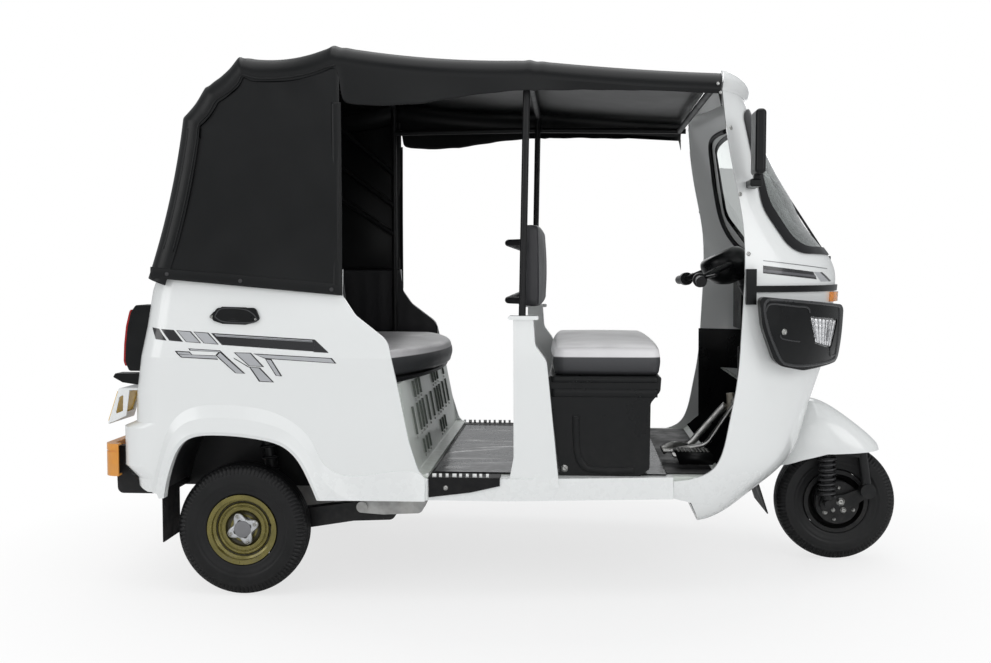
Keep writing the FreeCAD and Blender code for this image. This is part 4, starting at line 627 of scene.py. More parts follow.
def side_panels(sign):
    """A panel stretched between the lap seam above and the hem below, hollowed as a membrane is: deepest
    in the middle, with soft folds that run from the corners."""
    crease_x = line[:, 0] - normal[:, 0] * (EDGE_RADIUS + 15)
    crease_z = line[:, 1] - normal[:, 1] * (EDGE_RADIUS + 15)
    keep = np.flatnonzero(crease_x <= HEM_FRONT[0])
    places = np.linspace(0, len(keep) - 1, 120)
    a = np.interp(places, np.arange(len(keep)), crease_x[keep])
    b = np.interp(places, np.arange(len(keep)), crease_z[keep])
    a[-1] = HEM_FRONT[0]
    foot_share = (a - a[0]) / (a[-1] - a[0])
    foot_x = HEM_REAR[0] + (HEM_FRONT[0] - HEM_REAR[0]) * foot_share
    foot_z = HEM_REAR[1] - (HEM_REAR[1] - HEM_FRONT[1]) * foot_share
    down = np.linspace(0, 1, 90)
    x = a[:, None] * (1 - down) + foot_x[:, None] * down
    z = b[:, None] * (1 - down) + foot_z[:, None] * down
    p = np.clip((x + 255) / (327 + 255), 0, 1)
    q = np.clip((z - 985) / (1640 - 985), 0, 1)
    hollow = 15 * np.sin(np.pi * p) ** 0.8 * np.sin(np.pi * q) ** 0.8
    folds = 2.6 * np.sin(9 * (p + 0.8 * q)) * np.exp(-(((p - 0.85) / 0.25) ** 2)) * np.sin(np.pi * q)
    folds += 2.2 * np.sin(13 * (p - 0.9 * q) + 1.2) * np.exp(-(((q - 0.18) / 0.16) ** 2)) * np.sin(np.pi * p)
    folds += 1.4 * np.sin(24 * p + 3 * q) * np.exp(-(((q - 0.93) / 0.1) ** 2))
    y = sign * (HALF_WIDTH - 3.5 - hollow - folds)
    return row_metres(x, y, z)


canopy_vinyl = finish(
    "black_canopy_vinyl", (0.0045, 0.005, 0.0055), second=(0.0055, 0.006, 0.0065), rough=(0.30, 0.38),
    patches=3.5, grain=(1100.0, 0.7, 0.14), specular=0.26,
)


def wall(piece, thickness, offset=-1.0):
    """Gives a sheet its thickness, inwards from the surface unless told otherwise."""
    thick = piece.modifiers.new("wall", "SOLIDIFY")
    thick.thickness = thickness
    thick.offset = offset
    thick.use_even_offset = False
    return piece


cover = surface("canopy_cover", roof_skin(), side_panels(-1), side_panels(1)[:, ::-1])
cover.data.materials.append(canopy_vinyl)
wall(cover, 0.0026)
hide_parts("canopy")
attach(cover, "body")


def ribbon(path, across, width, bulge):
    """A flat band along a path: the path's points plus a share of the width along one direction, raised
    by a low arch of the bulge, outwards."""
    share = np.linspace(-0.5, 0.5, 9)
    lift = bulge * np.cos(np.pi * share) ** 0.5
    across = np.broadcast_to(np.asarray(across, float), path.shape)
    sideways = np.sign(path[:, 1])[:, None] * np.array([0.0, 1.0, 0.0])
    points = path[:, None, :] + across[:, None, :] * (width * share)[None, :, None]
    points = points + sideways[:, None, :] * lift[None, :, None]
    if path[0, 1] > 0:
        points = points[:, ::-1]
    return row_metres(points[..., 0], points[..., 1], points[..., 2])


hems = []
post_low, post_high = 958, 1548
for sign in (-1, 1):
    run = np.linspace(0, 1, 80)
    x = HEM_REAR[0] + (HEM_FRONT[0] + 6 - HEM_REAR[0]) * run
    z = HEM_REAR[1] - (HEM_REAR[1] - HEM_FRONT[1]) * run
    low = np.stack([x, sign * (HALF_WIDTH - 1.5 + 0 * x), z + 16], -1)
    hems.append(ribbon(low, (0, 0, 1), 34, 2.4))
    z = np.linspace(post_low, post_high, 80)
    pulled_in = 6 * np.sin(np.pi * (z - post_low) / (post_high - post_low))
    up = np.stack([318 + 0 * z, sign * (HALF_WIDTH - 2.0 - pulled_in), z], -1)
    hems.append(ribbon(up, (1, 0, 0), 30, 3.0))
hem_band = surface("canopy_hems", *hems)
hem_band.data.materials.append(canopy_vinyl)
wall(hem_band, 0.002, 0.0)
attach(hem_band, "body")


# Seats.
# Foam blocks in stretched vinyl: pale on top, grey round the sides, sewn together along a welted seam.
# The driver sits across the full width, and the passengers on a deeper bench with a tall back.


def cushion(centre, half, radius, crown, puff):
    """A stuffed block. Its outline is a rectangle with rounded corners, drawn inwards by a distance while
    the height climbs from the underside, bulges round the side wall and arches over the top. Near the
    middle the outline closes on a line. The arch is a parabola each way, and the sides pull in midway."""
    hx, hy, hz = half
    steps = 4 * 44
    a = np.linspace(0, 2 * np.pi, steps, endpoint=False) + np.pi / steps
    cx, cy = np.cos(a), np.sin(a)
    box_x = np.clip(cx * (hx + hy), -(hx - radius), hx - radius)
    box_y = np.clip(cy * (hx + hy), -(hy - radius), hy - radius)
    # Where along the profile: how far in from the outline, and how high from the middle
    edge = 0.42 * hz
    t = np.linspace(0, np.pi / 2, 8)
    wall_rows = np.linspace(0, 1, 7)[1:-1]
    below = [[radius * 0.999, radius * 0.6], edge * (1 - np.sin(t))]
    inset = np.concatenate([*below, -puff * np.sin(np.pi * wall_rows), edge * (1 - np.cos(t))[1:]])
    climb = [[-hz, -hz], -hz + edge * (1 - np.cos(t)), -hz + edge + (2 * hz - 2 * edge) * wall_rows]
    level = np.concatenate([*climb, hz - edge + edge * np.sin(t)[1:]])
    rows = []
    for d, z in zip(inset, level):
        rows.append(np.stack([box_x + (radius - d) * cx, box_y + (radius - d) * cy, 0 * cx + z], -1))
    first, start = rows[0], rows[-1]
    middle_y = np.clip(start[:, 1], -(hy - hx), hy - hx)
    for share in np.linspace(0, 1, 16)[1:]:
        y = start[:, 1] * (1 - share) + middle_y * share
        rows.append(np.stack([start[:, 0] * (1 - share), y, 0 * cx + hz], -1))
    bottom = []
    for share in (0.0, 0.4, 0.8):
        y = np.sign(first[:, 1]) * np.maximum(np.abs(first[:, 1]) - hx * (1 - share), 0)
        bottom.append(np.stack([first[:, 0] * share, y, 0 * cx - hz], -1))
    points = np.stack(bottom + rows)
    x, y, z = points[..., 0], points[..., 1], points[..., 2]
    arch = crown * (1 - np.clip(np.abs(x) / hx, 0, 1) ** 2.2) * (1 - np.clip(np.abs(y) / hy, 0, 1) ** 3.5)
    return np.stack([x, y, z + arch * (z > hz * 0.2)], -1) + np.asarray(centre, float)


def place_cushion(name, points, material, stands_for):
    """Puts a stuffed block's points into the row's frame, with its top and bottom closed."""
    piece = surface(name, row_metres(points[..., 0], points[..., 1], points[..., 2]), closed_columns=True)
    mesh = piece.data
    whole = bmesh.new()
    whole.from_mesh(mesh)
    bmesh.ops.remove_doubles(whole, verts=whole.verts[:], dist=0.0002)
    bmesh.ops.recalc_face_normals(whole, faces=whole.faces[:])
    whole.to_mesh(mesh)
    whole.free()
    mesh.shade_smooth()
    mesh.materials.append(material)
    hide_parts(stands_for)
    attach(piece, "body")
    return piece


def seat_cover(name, low, high, pale, dark):
    """Vinyl that is pale above a sewn line and grey below it, by height, with a leather-like grain."""
    made = finish(name, pale, rough=(0.36, 0.46), patches=9.0, grain=(850.0, 0.8, 0.35), specular=0.5)
    net = made.node_tree
    blend = next(n for n in net.nodes if n.bl_idname == "ShaderNodeMix" and n.data_type == "RGBA")
    dirt = next(n for n in net.nodes if n.bl_idname == "ShaderNodeGroup" and n.node_tree == road_dust)
    apart = put(net, "SeparateXYZ")
    step = put(net, "MapRange", From_Min=low, From_Max=high)
    two = put(net, "Mix", {"data_type": "RGBA"}, A=(*dark, 1))
    wire(
        net,
        (put(net, "TexCoord"), "Object", apart, "Vector"),
        (apart, "Z", step, "Value"),
        (step, "Result", two, "Factor"),
        (blend, "Result", two, "B"),
        (two, "Result", dirt, "Color"),
    )
    return made


driver_vinyl = seat_cover("driver_seat_vinyl", 0.757, 0.760, (0.80, 0.79, 0.80), (0.045, 0.046, 0.050))
bench_vinyl = seat_cover("bench_seat_vinyl", 0.752, 0.755, (0.66, 0.65, 0.66), (0.050, 0.052, 0.055))
back_vinyl = seat_cover("seat_back_vinyl", 0.1, 0.2, (0.022, 0.022, 0.025), (0.022, 0.022, 0.025))

points = cushion((1154, 0, 744), (181, 522, 44), 58, 12, 4)
place_cushion("driver_seat_cushion", points, driver_vinyl, "driver_cushion")

# The bench's front edge bows forward in the middle of the vehicle
bench_half, bench_rear, bench_corner, bench_bow = 180, 95.0, 470.0, 126.72
points = cushion((0, 0, 0), (bench_half, 572, 42), 60, 10, 4)
x, y, z = points[..., 0], points[..., 1], points[..., 2]
bench_front = bench_corner + bench_bow * (1 - (np.abs(y) / 570) ** 2.0)
x = bench_rear + (x + bench_half) / (2 * bench_half) * (bench_front - bench_rear)
place_cushion("bench_cushion", np.stack([x, y, z + 734], -1), bench_vinyl, "rear_cushion")

# The bench's back leans against the sheet behind it
half_tall, half_thick = 200, 33
sheet_foot, sheet_top = (66.0, 690.0), (-24.0, 1190.0)
points = cushion((0, 0, 0), (half_tall, 562, half_thick), 40, 12, 2)
x, y, z = points[..., 0], points[..., 1], points[..., 2]
lean = math.atan2(sheet_foot[0] - sheet_top[0], sheet_top[1] - sheet_foot[1])
foot_x, foot_z = sheet_foot[0] - 22.0, 782.0
up, out = x + half_tall, z + half_thick
back_x = foot_x - math.sin(lean) * up + math.cos(lean) * out
back_z = foot_z + math.cos(lean) * up + math.sin(lean) * out
place_cushion("bench_back", np.stack([back_x, y, back_z], -1), back_vinyl, "rear_seat_back")

# The driver's backrest stands upright, its face slightly hollow
half_tall, half_thick = 138, 27
points = cushion((0, 0, 0), (half_tall, 498, half_thick), 34, 10, 2)
x, y, z = points[..., 0], points[..., 1], points[..., 2]
up = x + half_tall
back_x = 884 - 3.6 * np.clip(up / (2 * half_tall), 0, 1) ** 2 + (z + half_thick)
place_cushion("driver_seat_back", np.stack([back_x, y, 910 + up], -1), back_vinyl, "driver_backrest")


# Side stripes.
# Cut vinyl film laid on the white panels: a dark band that ends in a point with five slanted bars behind
# it, loose bars below, and faded bars on the cowl. All are plain shapes with straight edges.


def film(name, patches, target, lift, material, sides=(-1, 1)):
    """Each patch is a surface between four corners, weighted by how near each point lies to each, set
    against the panel by a shrink wrap and raised by its lift."""
    made = []
    for sign in sides:
        for corners in patches:
            c = np.array(corners, float)
            u = np.linspace(0, 1, 40)[:, None, None]
            v = np.linspace(0, 1, 10)[None, :, None]
            flat = (c[0] * (1 - u) + c[1] * u) * (1 - v) + (c[3] * (1 - u) + c[2] * u) * v
            x, z = flat[..., 0], flat[..., 1]
            part = row_metres(x, sign * (660 + 0 * x), z)
            made.append(part if sign < 0 else part[::-1])
    whole = surface(name, *made)
    wrap = whole.modifiers.new("wrap", "SHRINKWRAP")
    wrap.target = nodes[target]
    wrap.wrap_method = "PROJECT"
    wrap.use_project_x, wrap.use_project_y, wrap.use_project_z = False, True, False
    wrap.use_positive_direction = True
    wrap.use_negative_direction = True
    wrap.offset = lift
    wrap.wrap_mode = "ABOVE_SURFACE"
    bpy.context.view_layer.update()
    graph = bpy.context.evaluated_depsgraph_get()
    laid = bpy.data.meshes.new_from_object(whole.evaluated_get(graph))
    whole.modifiers.clear()
    whole.data = laid
    laid.materials.clear()
    laid.materials.append(material)
    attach(whole, "body")


def film_vinyl(name, colour, rough, metal=0.0):
    """Cast vinyl film under a clear gloss."""
    return finish(name, colour, rough=rough, metal=metal, coat=0.5, patches=8.0, grain=(100.0, 0.0, 0.03))


film_black = film_vinyl("black_stripe_film", (0.012, 0.012, 0.014), (0.22, 0.30))
film_silver = film_vinyl("silver_stripe_film", (0.50, 0.51, 0.53), (0.28, 0.36), 0.3)
film_grey = film_vinyl("grey_stripe_film", (0.12, 0.12, 0.13), (0.28, 0.36), 0.2)
black_shapes = [
    [(-84, 837), (246, 818), (243, 781), (-48, 800)],
    [(246, 818), (289, 779), (289, 777), (243, 779)],
    [(-278, 853), (-252, 850), (-225, 813), (-262, 817)],
    [(-245, 849), (-203, 846), (-172, 809), (-216, 813)],
    [(-195, 845), (-148, 842), (-114, 805), (-163, 809)],
    [(-140, 841), (-92, 838), (-58, 801), (-106, 805)],
    [(-198, 781), (-151, 779), (-140, 768), (-190, 771)],
    [(-190, 771), (-68, 767), (-59, 754), (-177, 760)],
    [(-155, 789), (-53, 783), (-48, 777), (-150, 782)],
    [(-68, 768), (-53, 783), (27, 711), (-5, 712)],
    [(-10, 761), (38, 733), (38, 730), (-8, 757)],
    [(38, 733), (74, 730), (118, 684), (70, 686)],
    [(51, 774), (301, 761), (315, 744), (90, 758)],
    [(90, 758), (110, 757), (144, 703), (123, 705)],
    [(-10, 777), (45, 776), (87, 732), (38, 735)],
]
silver_shapes = [
    [(-72, 833), (237, 815), (240, 813), (-70, 830)],
    [(-68, 829), (238, 811), (240, 810), (-66, 827)],
    [(-191, 843), (-151, 840), (-119, 807), (-161, 810)],
    [(-136, 839), (-95, 836), (-63, 803), (-104, 806)],
    [(-190, 778), (-152, 776), (-144, 769), (-186, 772)],
    [(-184, 770), (-66, 765), (-61, 757), (-174, 762)],
    [(-150, 787), (-54, 781), (-51, 778), (-146, 783)],
    [(-62, 767), (-53, 776), (20, 712), (-2, 713)],
    [(44, 731), (70, 728), (112, 686), (74, 688)],
    [(58, 771), (297, 759), (309, 746), (92, 760)],
    [(94, 755), (108, 754), (138, 705), (126, 706)],
    [(-4, 775), (42, 774), (80, 734), (41, 736)],
]
for side_name, side in (("right", -1), ("left", 1)):
    quarter = f"rear_quarter_{side_name}"
    film(f"stripe_black_{side_name}", black_shapes, quarter, 0.0005, film_black, (side,))
    film(f"stripe_silver_{side_name}", silver_shapes, quarter, 0.0009, film_silver, (side,))
cowl_dark = [
    [(1635, 1048), (1814, 1028), (1828, 1004), (1635, 1024)],
    [(1842, 1026), (1852, 1027), (1898, 997), (1886, 996)],
]
cowl_fine = [
    [(1635, 1064), (1877, 1039), (1877, 1037), (1635, 1062)],
    [(1635, 1036), (1822, 1017), (1826, 1010), (1635, 1027)],
]
cowl_chevron = [[(1816, 1028), (1850, 1027), (1884, 997), (1846, 996)]]
film("cowl_band_dark", cowl_dark, "front_cowl", 0.0006, film_black)
film("cowl_band_fine", cowl_fine, "front_cowl", 0.0009, film_grey)
film("cowl_chevron", cowl_chevron, "front_cowl", 0.0005, film_silver)


# Wheel trim.
# A silver hub cover with four rounded lobes sits in each rear rim, over a flat grey boss, with a valve
# beside it. Rolled beads stand on the rim's steps, and dark sheets laid in the grooves between them are
# painted shade.


def fit(name, grids, material, body, sheet=False):
    """A piece through grids of points, dressed and put on its body. Each row of a grid is a ring that
    closes on itself, or in a sheet a line from edge to edge."""
    placed = [row_metres(g[..., 0], g[..., 1], g[..., 2]) for g in grids]
    piece = surface(name, *placed, closed_columns=not sheet)
    piece.data.materials.append(material)
    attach(piece, body)
    return piece


def turned(profile, centre, axis=(0, -1, 0), count=40, lobes=None, turn=0.0):
    """Rings carried round an axis. The profile gives each ring's radius and its distance along the axis
    from the centre. Lobes, a number and a depth, make the radius rise and fall as a cosine round the ring."""
    axis = np.asarray(axis, float) / np.linalg.norm(axis)
    side = np.cross(axis, (0.0, 0.3, 1.0))
    side /= np.linalg.norm(side)
    over = np.cross(axis, side)
    angle = np.linspace(0, 2 * np.pi, count, endpoint=False)
    rows = []
    for radius, along in profile:
        r = radius * (1 + (lobes[1] * np.cos(lobes[0] * (angle - turn)) if lobes else 0 * angle))
        ring = np.cos(angle)[:, None] * side + np.sin(angle)[:, None] * over
        rows.append(np.asarray(centre, float) + axis * along + r[:, None] * ring)
    return np.stack(rows)


def rod(route, radius, count=10, flat=1.0, steps=6):
    """A bar along a route: the points are joined by a Catmull-Rom curve, and rings of the radius stand
    square to it, pressed flat by a share. The first and last rings shrink to close the ends."""
    p = np.asarray(route, float)
    p = np.vstack([2 * p[0] - p[1], p, 2 * p[-1] - p[-2]])
    t = np.linspace(0, 1, steps, endpoint=False)[:, None]
    runs = []
    for a, b, c, d in zip(p, p[1:], p[2:], p[3:]):
        bend, twist = 2 * a - 5 * b + 4 * c - d, 3 * b - a - 3 * c + d
        runs.append(0.5 * (2 * b + (c - a) * t + bend * t**2 + twist * t**3))
    line = np.vstack([*runs, p[-2:-1]])
    way = np.gradient(line, axis=0)
    way /= np.linalg.norm(way, axis=1)[:, None]
    up = np.array([0.0, 1.0, 0.0]) if np.abs(way[:, 1]).max() < 0.9 else np.array([0.3, 0.0, 1.0])
    side = np.cross(way, up)
    side /= np.linalg.norm(side, axis=1)[:, None]
    over = np.cross(side, way)
    size = np.full(len(line), float(radius))
    line = np.vstack([line[:1], line, line[-1:]])
    side, over = np.vstack([side[:1], side, side[-1:]]), np.vstack([over[:1], over, over[-1:]])
    size = np.concatenate([[0.01], size, [0.01]])
    a = np.linspace(0, 2 * np.pi, count, endpoint=False)[None, :, None]
    ring = np.cos(a) * side[:, None, :] + flat * np.sin(a) * over[:, None, :]
    return line[:, None, :] + size[:, None, None] * ring


def screw(centre, axis=(0, -1, 0), radius=6.0, high=3.0):
    """A round screw head with a bevelled edge and a shallow recess in its middle."""
    washer, thin = radius * 1.5, 0.8
    foot = [(washer, 0.0), (washer, thin), (radius, thin)]
    head = [(radius * out, high * up) for out, up in ((1, 0.7), (0.8, 1), (0.4, 1), (0.36, 0.5))]
    return turned([*foot, *head, (0.01, high * 0.45)], centre, axis, 18)


boss_grey = finish(
    "grey_hub_boss", (0.20, 0.20, 0.21), rough=(0.4, 0.5), patches=30.0, grain=(200.0, 0.0, 0.05)
)
# Painted shade: dark sheets laid in the rim's grooves stand for the shade that falls in them.
groove_shadow = finish("rim_groove_painted_shade", (0.035, 0.030, 0.010), rough=(0.35, 0.45), patches=30.0)
star_profile = [(38, 22.6), (42, 23), (43, 27), (40, 31), (34, 32.5), (27, 33), (25, 32.6)]
boss_profile = [(28, 30), (27, 34), (25, 35), (12, 35.4), (0.01, 35.4)]
dish_profile = [
    (102, 36), (100, 34.5), (98.5, 27), (96, 24.5), (91, 23.5), (89, 22), (88, 18), (84, 17.6), (83, 21),
    (81, 22.8), (77, 23.2), (75, 22), (74.4, 19.5), (72.8, 19.5), (72, 22.6), (69, 23.8), (61, 23.8),
    (58, 22.4), (56, 17), (53, 14), (48, 13), (36, 13),
]
groove_profiles = [
    [(88.4, 21.0), (88.2, 18.4), (83.8, 18.0), (83.4, 20.8)],
    [(101.4, 36.4), (99.6, 34.9), (98.8, 30.0)],
    [(57.6, 22.7), (55.6, 17.4), (52.8, 14.4), (48, 13.4), (44, 13.4)],
]
for side_name, sign in (("right", -1), ("left", 1)):
    body = f"rear_wheel_{side_name}"
    plate_y = sign * HALF_TRACK
    middle, way = (0, plate_y, WHEEL_HIGH), (0, sign, 0)
    star = turned(star_profile, middle, way, 120, (4, 0.24), math.radians(-22 * sign))
    fit(f"hub_star_{side_name}", [star], hub_alloy, body)
    boss = turned(boss_profile, middle, way, 48)
    fit(f"hub_boss_{side_name}", [boss], boss_grey, body)
    nuts = []
    for k in range(4):
        a = math.radians(22 + 90 * k)
        place = (41 * math.cos(a), plate_y + sign * 31, WHEEL_HIGH + 41 * math.sin(a))
        nuts.append(screw(place, way, 5.5, 5.0))
    fit(f"hub_nuts_{side_name}", nuts, plated_steel, body)
    dish = turned(dish_profile, middle, way, 120)
    fit(f"rim_dish_{side_name}", [dish], rim_gold, body)
    grooves = [turned(profile, middle, way, 96) for profile in groove_profiles]
    fit(f"rim_groove_shade_{side_name}", grooves, groove_shadow, body)
    stem_route = [(x, plate_y + sign * out, z) for x, out, z in ((84, 14, 222), (86, 26, 223), (90, 36, 224))]
    stem = rod(stem_route, 3.6, 12)
    fit(f"tyre_valve_{side_name}", [stem], seal_rubber, body)


# Front brake bolts and spring.
# Bright bolts stand round the brake plate and the arm's boss on the leg's side. The spring between the
# arm and the leg's shelf is a coil of round wire.

bolts = []
for x, y, z, radius in (
    (1989, -61, 263, 5.0), (2002, -80, 187, 7.0), (1943, -61, 175, 6.0), (2041, -61, 184, 4.5),
    (1992, -80, 217, 10.0), (1967, -80, 187, 5.0), (1960, -61, 250, 4.0), (2030, -61, 218, 4.0),
    (1975, -61, 150, 4.0), (1933, -61, 215, 4.0),
):
    bolts.append(screw((x, y, z), (0, -1, 0), radius, 8.0))
fit("front_brake_bolts", bolts, plated_steel, "steering")
coil_radius, coil_turns, coil_low, coil_high = 27.5, 8.5, 238, 384
turns = np.linspace(0, 2 * np.pi * coil_turns, 170)
climb = coil_low + (coil_high - coil_low) * turns / turns[-1]
coil = np.stack([1940 + coil_radius * np.cos(turns), -100 + coil_radius * np.sin(turns), climb], -1)
spring = rod(coil, 3.8, 8, steps=1)
fit("front_spring_coil", [spring], dark_hub, "steering")


# Linings and inner seals.
# Black fibre-backed vinyl covers the walls beside the bench from the deck to the quarter's top edge, with
# a rubber edging along it. A rubber bead runs round the side panes' edge inside the cowl.


def ray_tree(node):
    """A CAD node's mesh, ready for rays."""
    mesh = nodes[node].data
    corners = [tuple(p.vertices) for p in mesh.polygons]
    return BVHTree.FromPolygons([v.co.copy() for v in mesh.vertices], corners)


def met_by_ray(tree, x, y, z, way):
    """Where a ray from a point first meets a tree, in millimetres from the rear axle, and the way that
    the face looks there. Both are None where it meets nothing."""
    hit, face, _, _ = tree.ray_cast(Vector(((x + AXLE) / 1000, y / 1000, z / 1000)), Vector(way))
    if hit is None:
        return None, None
    return np.array([hit.x * 1000 - AXLE, hit.y * 1000, hit.z * 1000]), np.array(face)


def inner_wall(tree, x, z, sign, back=1.5):
    """Where a level line from the vehicle's middle meets an inner face, drawn back by a little."""
    place, _ = met_by_ray(tree, x, 0.0, z, (0.0, sign, 0.0))
    return None if place is None else place[1] - sign * back


LINING_LOW = 704
for side_name, sign in (("right", -1), ("left", 1)):
    quarter_tree = ray_tree(f"rear_quarter_{side_name}")
    lining_x = np.linspace(-262, 590, 62)
    heights = np.arange(714, 1036, 3.0)
    tops = []
    for a in lining_x:
        met = [inner_wall(quarter_tree, a, b, sign) for b in heights]
        tops.append(max([b for b, y in zip(heights, met) if y is not None and abs(y) > 540], default=0))
    tops = np.array(tops)
    lining_x, tops = lining_x[tops > 730], tops[tops > 730]
    share = np.linspace(0, 1, 30)[:, None]
    z = LINING_LOW * (1 - share) + (tops[None, :] - 1) * share
    x = np.broadcast_to(lining_x[None, :], z.shape)
    met = [inner_wall(quarter_tree, a, b, sign, 4.0) or sign * 600 for a, b in zip(x.ravel(), z.ravel())]
    y = np.reshape(met, z.shape) - sign * 1.4 * (1 + np.cos(x / 19.0) ** 8)
    cloth = [np.stack([x, y, z], -1)]
    wall(fit(f"side_lining_{side_name}", cloth, back_vinyl, "body", sheet=True), 0.002, 0.0)
    level = z[-1] > 990
    top_route = np.stack([x[-1, level], y[-1, level], z[-1, level] + 3], -1)[::3]
    trim = rod(top_route, 4.0, 8, steps=2)
    fit(f"lining_edge_{side_name}", [trim], seal_rubber, "body")
cowl_tree = ray_tree("front_cowl")
edge_route = [
    (1628, 1556), (1608, 1553), (1594, 1540), (1592, 1510), (1603, 1440), (1618, 1350), (1640, 1250),
    (1668, 1182), (1710, 1126), (1760, 1098), (1810, 1090), (1850, 1088),
]
beads = []
for sign in (-1, 1):
    route = [(x - 7, inner_wall(cowl_tree, x - 7, z, sign, 5.0), z) for x, z in edge_route]
    beads.append(rod([p for p in route if p[1] is not None], 9.0, 12, steps=5))
fit("screen_inner_bead", beads, seal_rubber, "body")


# Lamps and pods.
# Behind each clear lens is a silvered bowl with upright ribs. A rolled edge runs round the pod where it
# meets the cowl, and its side has one bright screw, a short moulded line, a ridge and a clip under the lens.
# The edge, the line, the ridge and the clip are a grey lighter than the pod's black: a painted highlight.

pod_edge = [
    (1645, 943), (1690, 941), (1760, 935), (1840, 927), (1900, 918), (1912, 905), (1913, 850), (1910, 790),
    (1905, 748), (1880, 738), (1840, 735), (1772, 733), (1720, 739), (1692, 752), (1666, 800), (1646, 850),
    (1634, 900), (1634, 930),
]
moulded_line = [(1685, 834), (1686, 828), (1692, 822), (1706, 818), (1728, 814), (1752, 811)]
ridge = [(1634, 905), (1648, 928), (1690, 927), (1740, 921), (1768, 919), (1782, 912), (1786, 900)]
clip = [(1876, 783), (1877, 770), (1880, 757), (1892, 755), (1908, 757)]
pod_tree = ray_tree("headlamp_pods")
glass_tree = ray_tree("headlamp_lenses")


def on_outside(tree, x, z, sign, proud=0.0):
    """The point of an outer face on a level line across the vehicle, moved outwards, and the way that
    the face looks there."""
    place, face = met_by_ray(tree, x, sign * 900, z, (0.0, -sign, 0.0))
    if place is None:
        return None, None
    way = face * (1 if face[1] * sign > 0 else -1)
    return place + way * proud, way


pod_lines, pod_screws = [], []
for sign in (-1, 1):
    place, way = on_outside(pod_tree, 1699, 843, sign)
    pod_screws.append(screw(place, way, 6.5, 4.5))
    for route, proud, radius, count in (
        (moulded_line, 0.6, 2.2, 8),
        (ridge, 0.4, 3.0, 10),
        (pod_edge + pod_edge[:1], -1.0, 5.0, 12),
        (clip, 0.5, 3.0, 8),
    ):
        found = [on_outside(pod_tree, x, z, sign, proud)[0] for x, z in route]
        pod_lines.append(rod([p for p in found if p is not None], radius, count))
bowls, ribs = [], []
corner = np.array([(1789, 886), (1900, 872), (1878, 785), (1811, 804)], float)
for sign in (-1, 1):
    u, v = np.meshgrid(np.linspace(0.02, 0.98, 44), np.linspace(0.03, 0.97, 26), indexing="ij")
    u, v = u[..., None], v[..., None]
    flat = (corner[0] * (1 - u) + corner[1] * u) * (1 - v) + (corner[3] * (1 - u) + corner[2] * u) * v
    sheet = np.zeros((*flat.shape[:2], 3))
    for i, row in enumerate(flat):
        for j, (x, z) in enumerate(row):
            place, _ = on_outside(glass_tree, x, z, sign)
            y = sheet[i, j - 1, 1] if place is None else place[1]
            deep = 2.4 + 1.1 * math.cos(2 * math.pi * i / 6.3) + 0.5 * math.cos(2 * math.pi * j / 5.2)
            sheet[i, j] = (x, y - sign * deep, z)
    bowls.append(sheet)
    for column, radius in ((28, 1.6), (33, 1.2), (2, 1.4), (41, 1.4)):
        stand = sheet[column, 1:-1:4] + np.array([0.0, sign * 1.2, 0.0])
        ribs.append(rod(stand, radius, 8))
silvered = finish(
    "silvered_bowl", (0.86, 0.86, 0.87), rough=(0.16, 0.30), metal=0.85, patches=60.0, grain=(90.0, 0.6, 0.5)
)
fit("lamp_bowls", bowls, silvered, "body", sheet=True)
fit("lamp_ribs", ribs, boss_grey, "body")
# Painted highlight: the pod's edge, line, ridge and clip are a grey lighter than its black plastic.
pod_line_highlight_grey = finish("pod_line_painted_highlight", (0.03, 0.031, 0.033), rough=(0.25, 0.32), patches=30.0)
fit("pod_lines", pod_lines, pod_line_highlight_grey, "body")
fit("pod_screws", pod_screws, plated_steel, "body")


# Driver's seat box.
# Two rolled beads run along the top of the moulded box on each side. Below them the side is pressed into
# a shallow U-shaped bead, and one bolt holds its lower rear corner to the frame.

box_face = 552.0
u_route = [
    (1057, 575), (1058, 520), (1061, 470), (1068, 438), (1082, 417), (1102, 406), (1140, 402), (1190, 401),
    (1240, 405),
]
box_parts, box_bolts = [], []
for sign in (-1, 1):
    y = sign * (box_face + 0.5)
    box_parts.append(rod([(x, y, z) for x, z in u_route], 11.0, 16, 0.42))
    for z, radius, flat in ((690, 9.0, 0.6), (648, 13.0, 0.32)):
        box_parts.append(rod([(x, y, z) for x in (980, 1060, 1150, 1240, 1312)], radius, 14, flat))
    box_bolts.append(screw((1022, sign * box_face, 408), (0, sign, 0), 7.5, 4.0))
fit("seat_box_beads", box_parts, moulded_black, "body")
fit("seat_box_bolts", box_bolts, plated_steel, "body")


# Bulkhead.
# Rows of narrow upright slots pressed through the sheet below the bench are drawn as dark green bars
# laid on it, painted shade for the depth of each slot, with a bright weld under each of them.


def on_bulkhead(y, z, proud):
    """A point on the sloping face, by how far across and how high it is."""
    slope = (560 - 507) / (689 - 399)
    return np.array([507 + (689 - z) * slope + proud, y, z])


slots, welds = [], []
for low, high, shares in (
    (610, 664, (-0.62, -0.50, -0.38, 0.20, 0.32, 0.44, 0.78)),
    (500, 590, (-0.80, -0.62, -0.50, -0.38, -0.20, 0.0, 0.20, 0.32, 0.44, 0.62, 0.80)),
    (424, 470, (-0.62, -0.50, -0.38, 0.20, 0.32, 0.44)),
):
    for y in 590 * np.array(shares):
        slots.append(rod([on_bulkhead(y, z, 0.3) for z in (high, (low + high) / 2, low)], 5.5, 10, 0.9))
        weld = [(5.0, 0.0), (4.6, 1.8), (2.5, 3.0), (0.01, 3.3)]
        welds.append(turned(weld, on_bulkhead(y, low - 9, 0.0), (1, 0, 0.18), 12))
# Painted shade: the slots are dark green bars on the sheet, standing for the shade in each pressed slot.
slot_shadow = finish("slot_shadow_green", (0.10, 0.115, 0.10), rough=(0.4, 0.5), patches=20.0)
fit("bulkhead_slot_shade", slots, slot_shadow, "body")
fit("bulkhead_welds", welds, plated_steel, "body")


# Canopy fittings.
# Snap studs hold the hems down, two rivets hold each front corner to the header, and cords are sewn into
# the seams over the bow ends and along the rear edge.

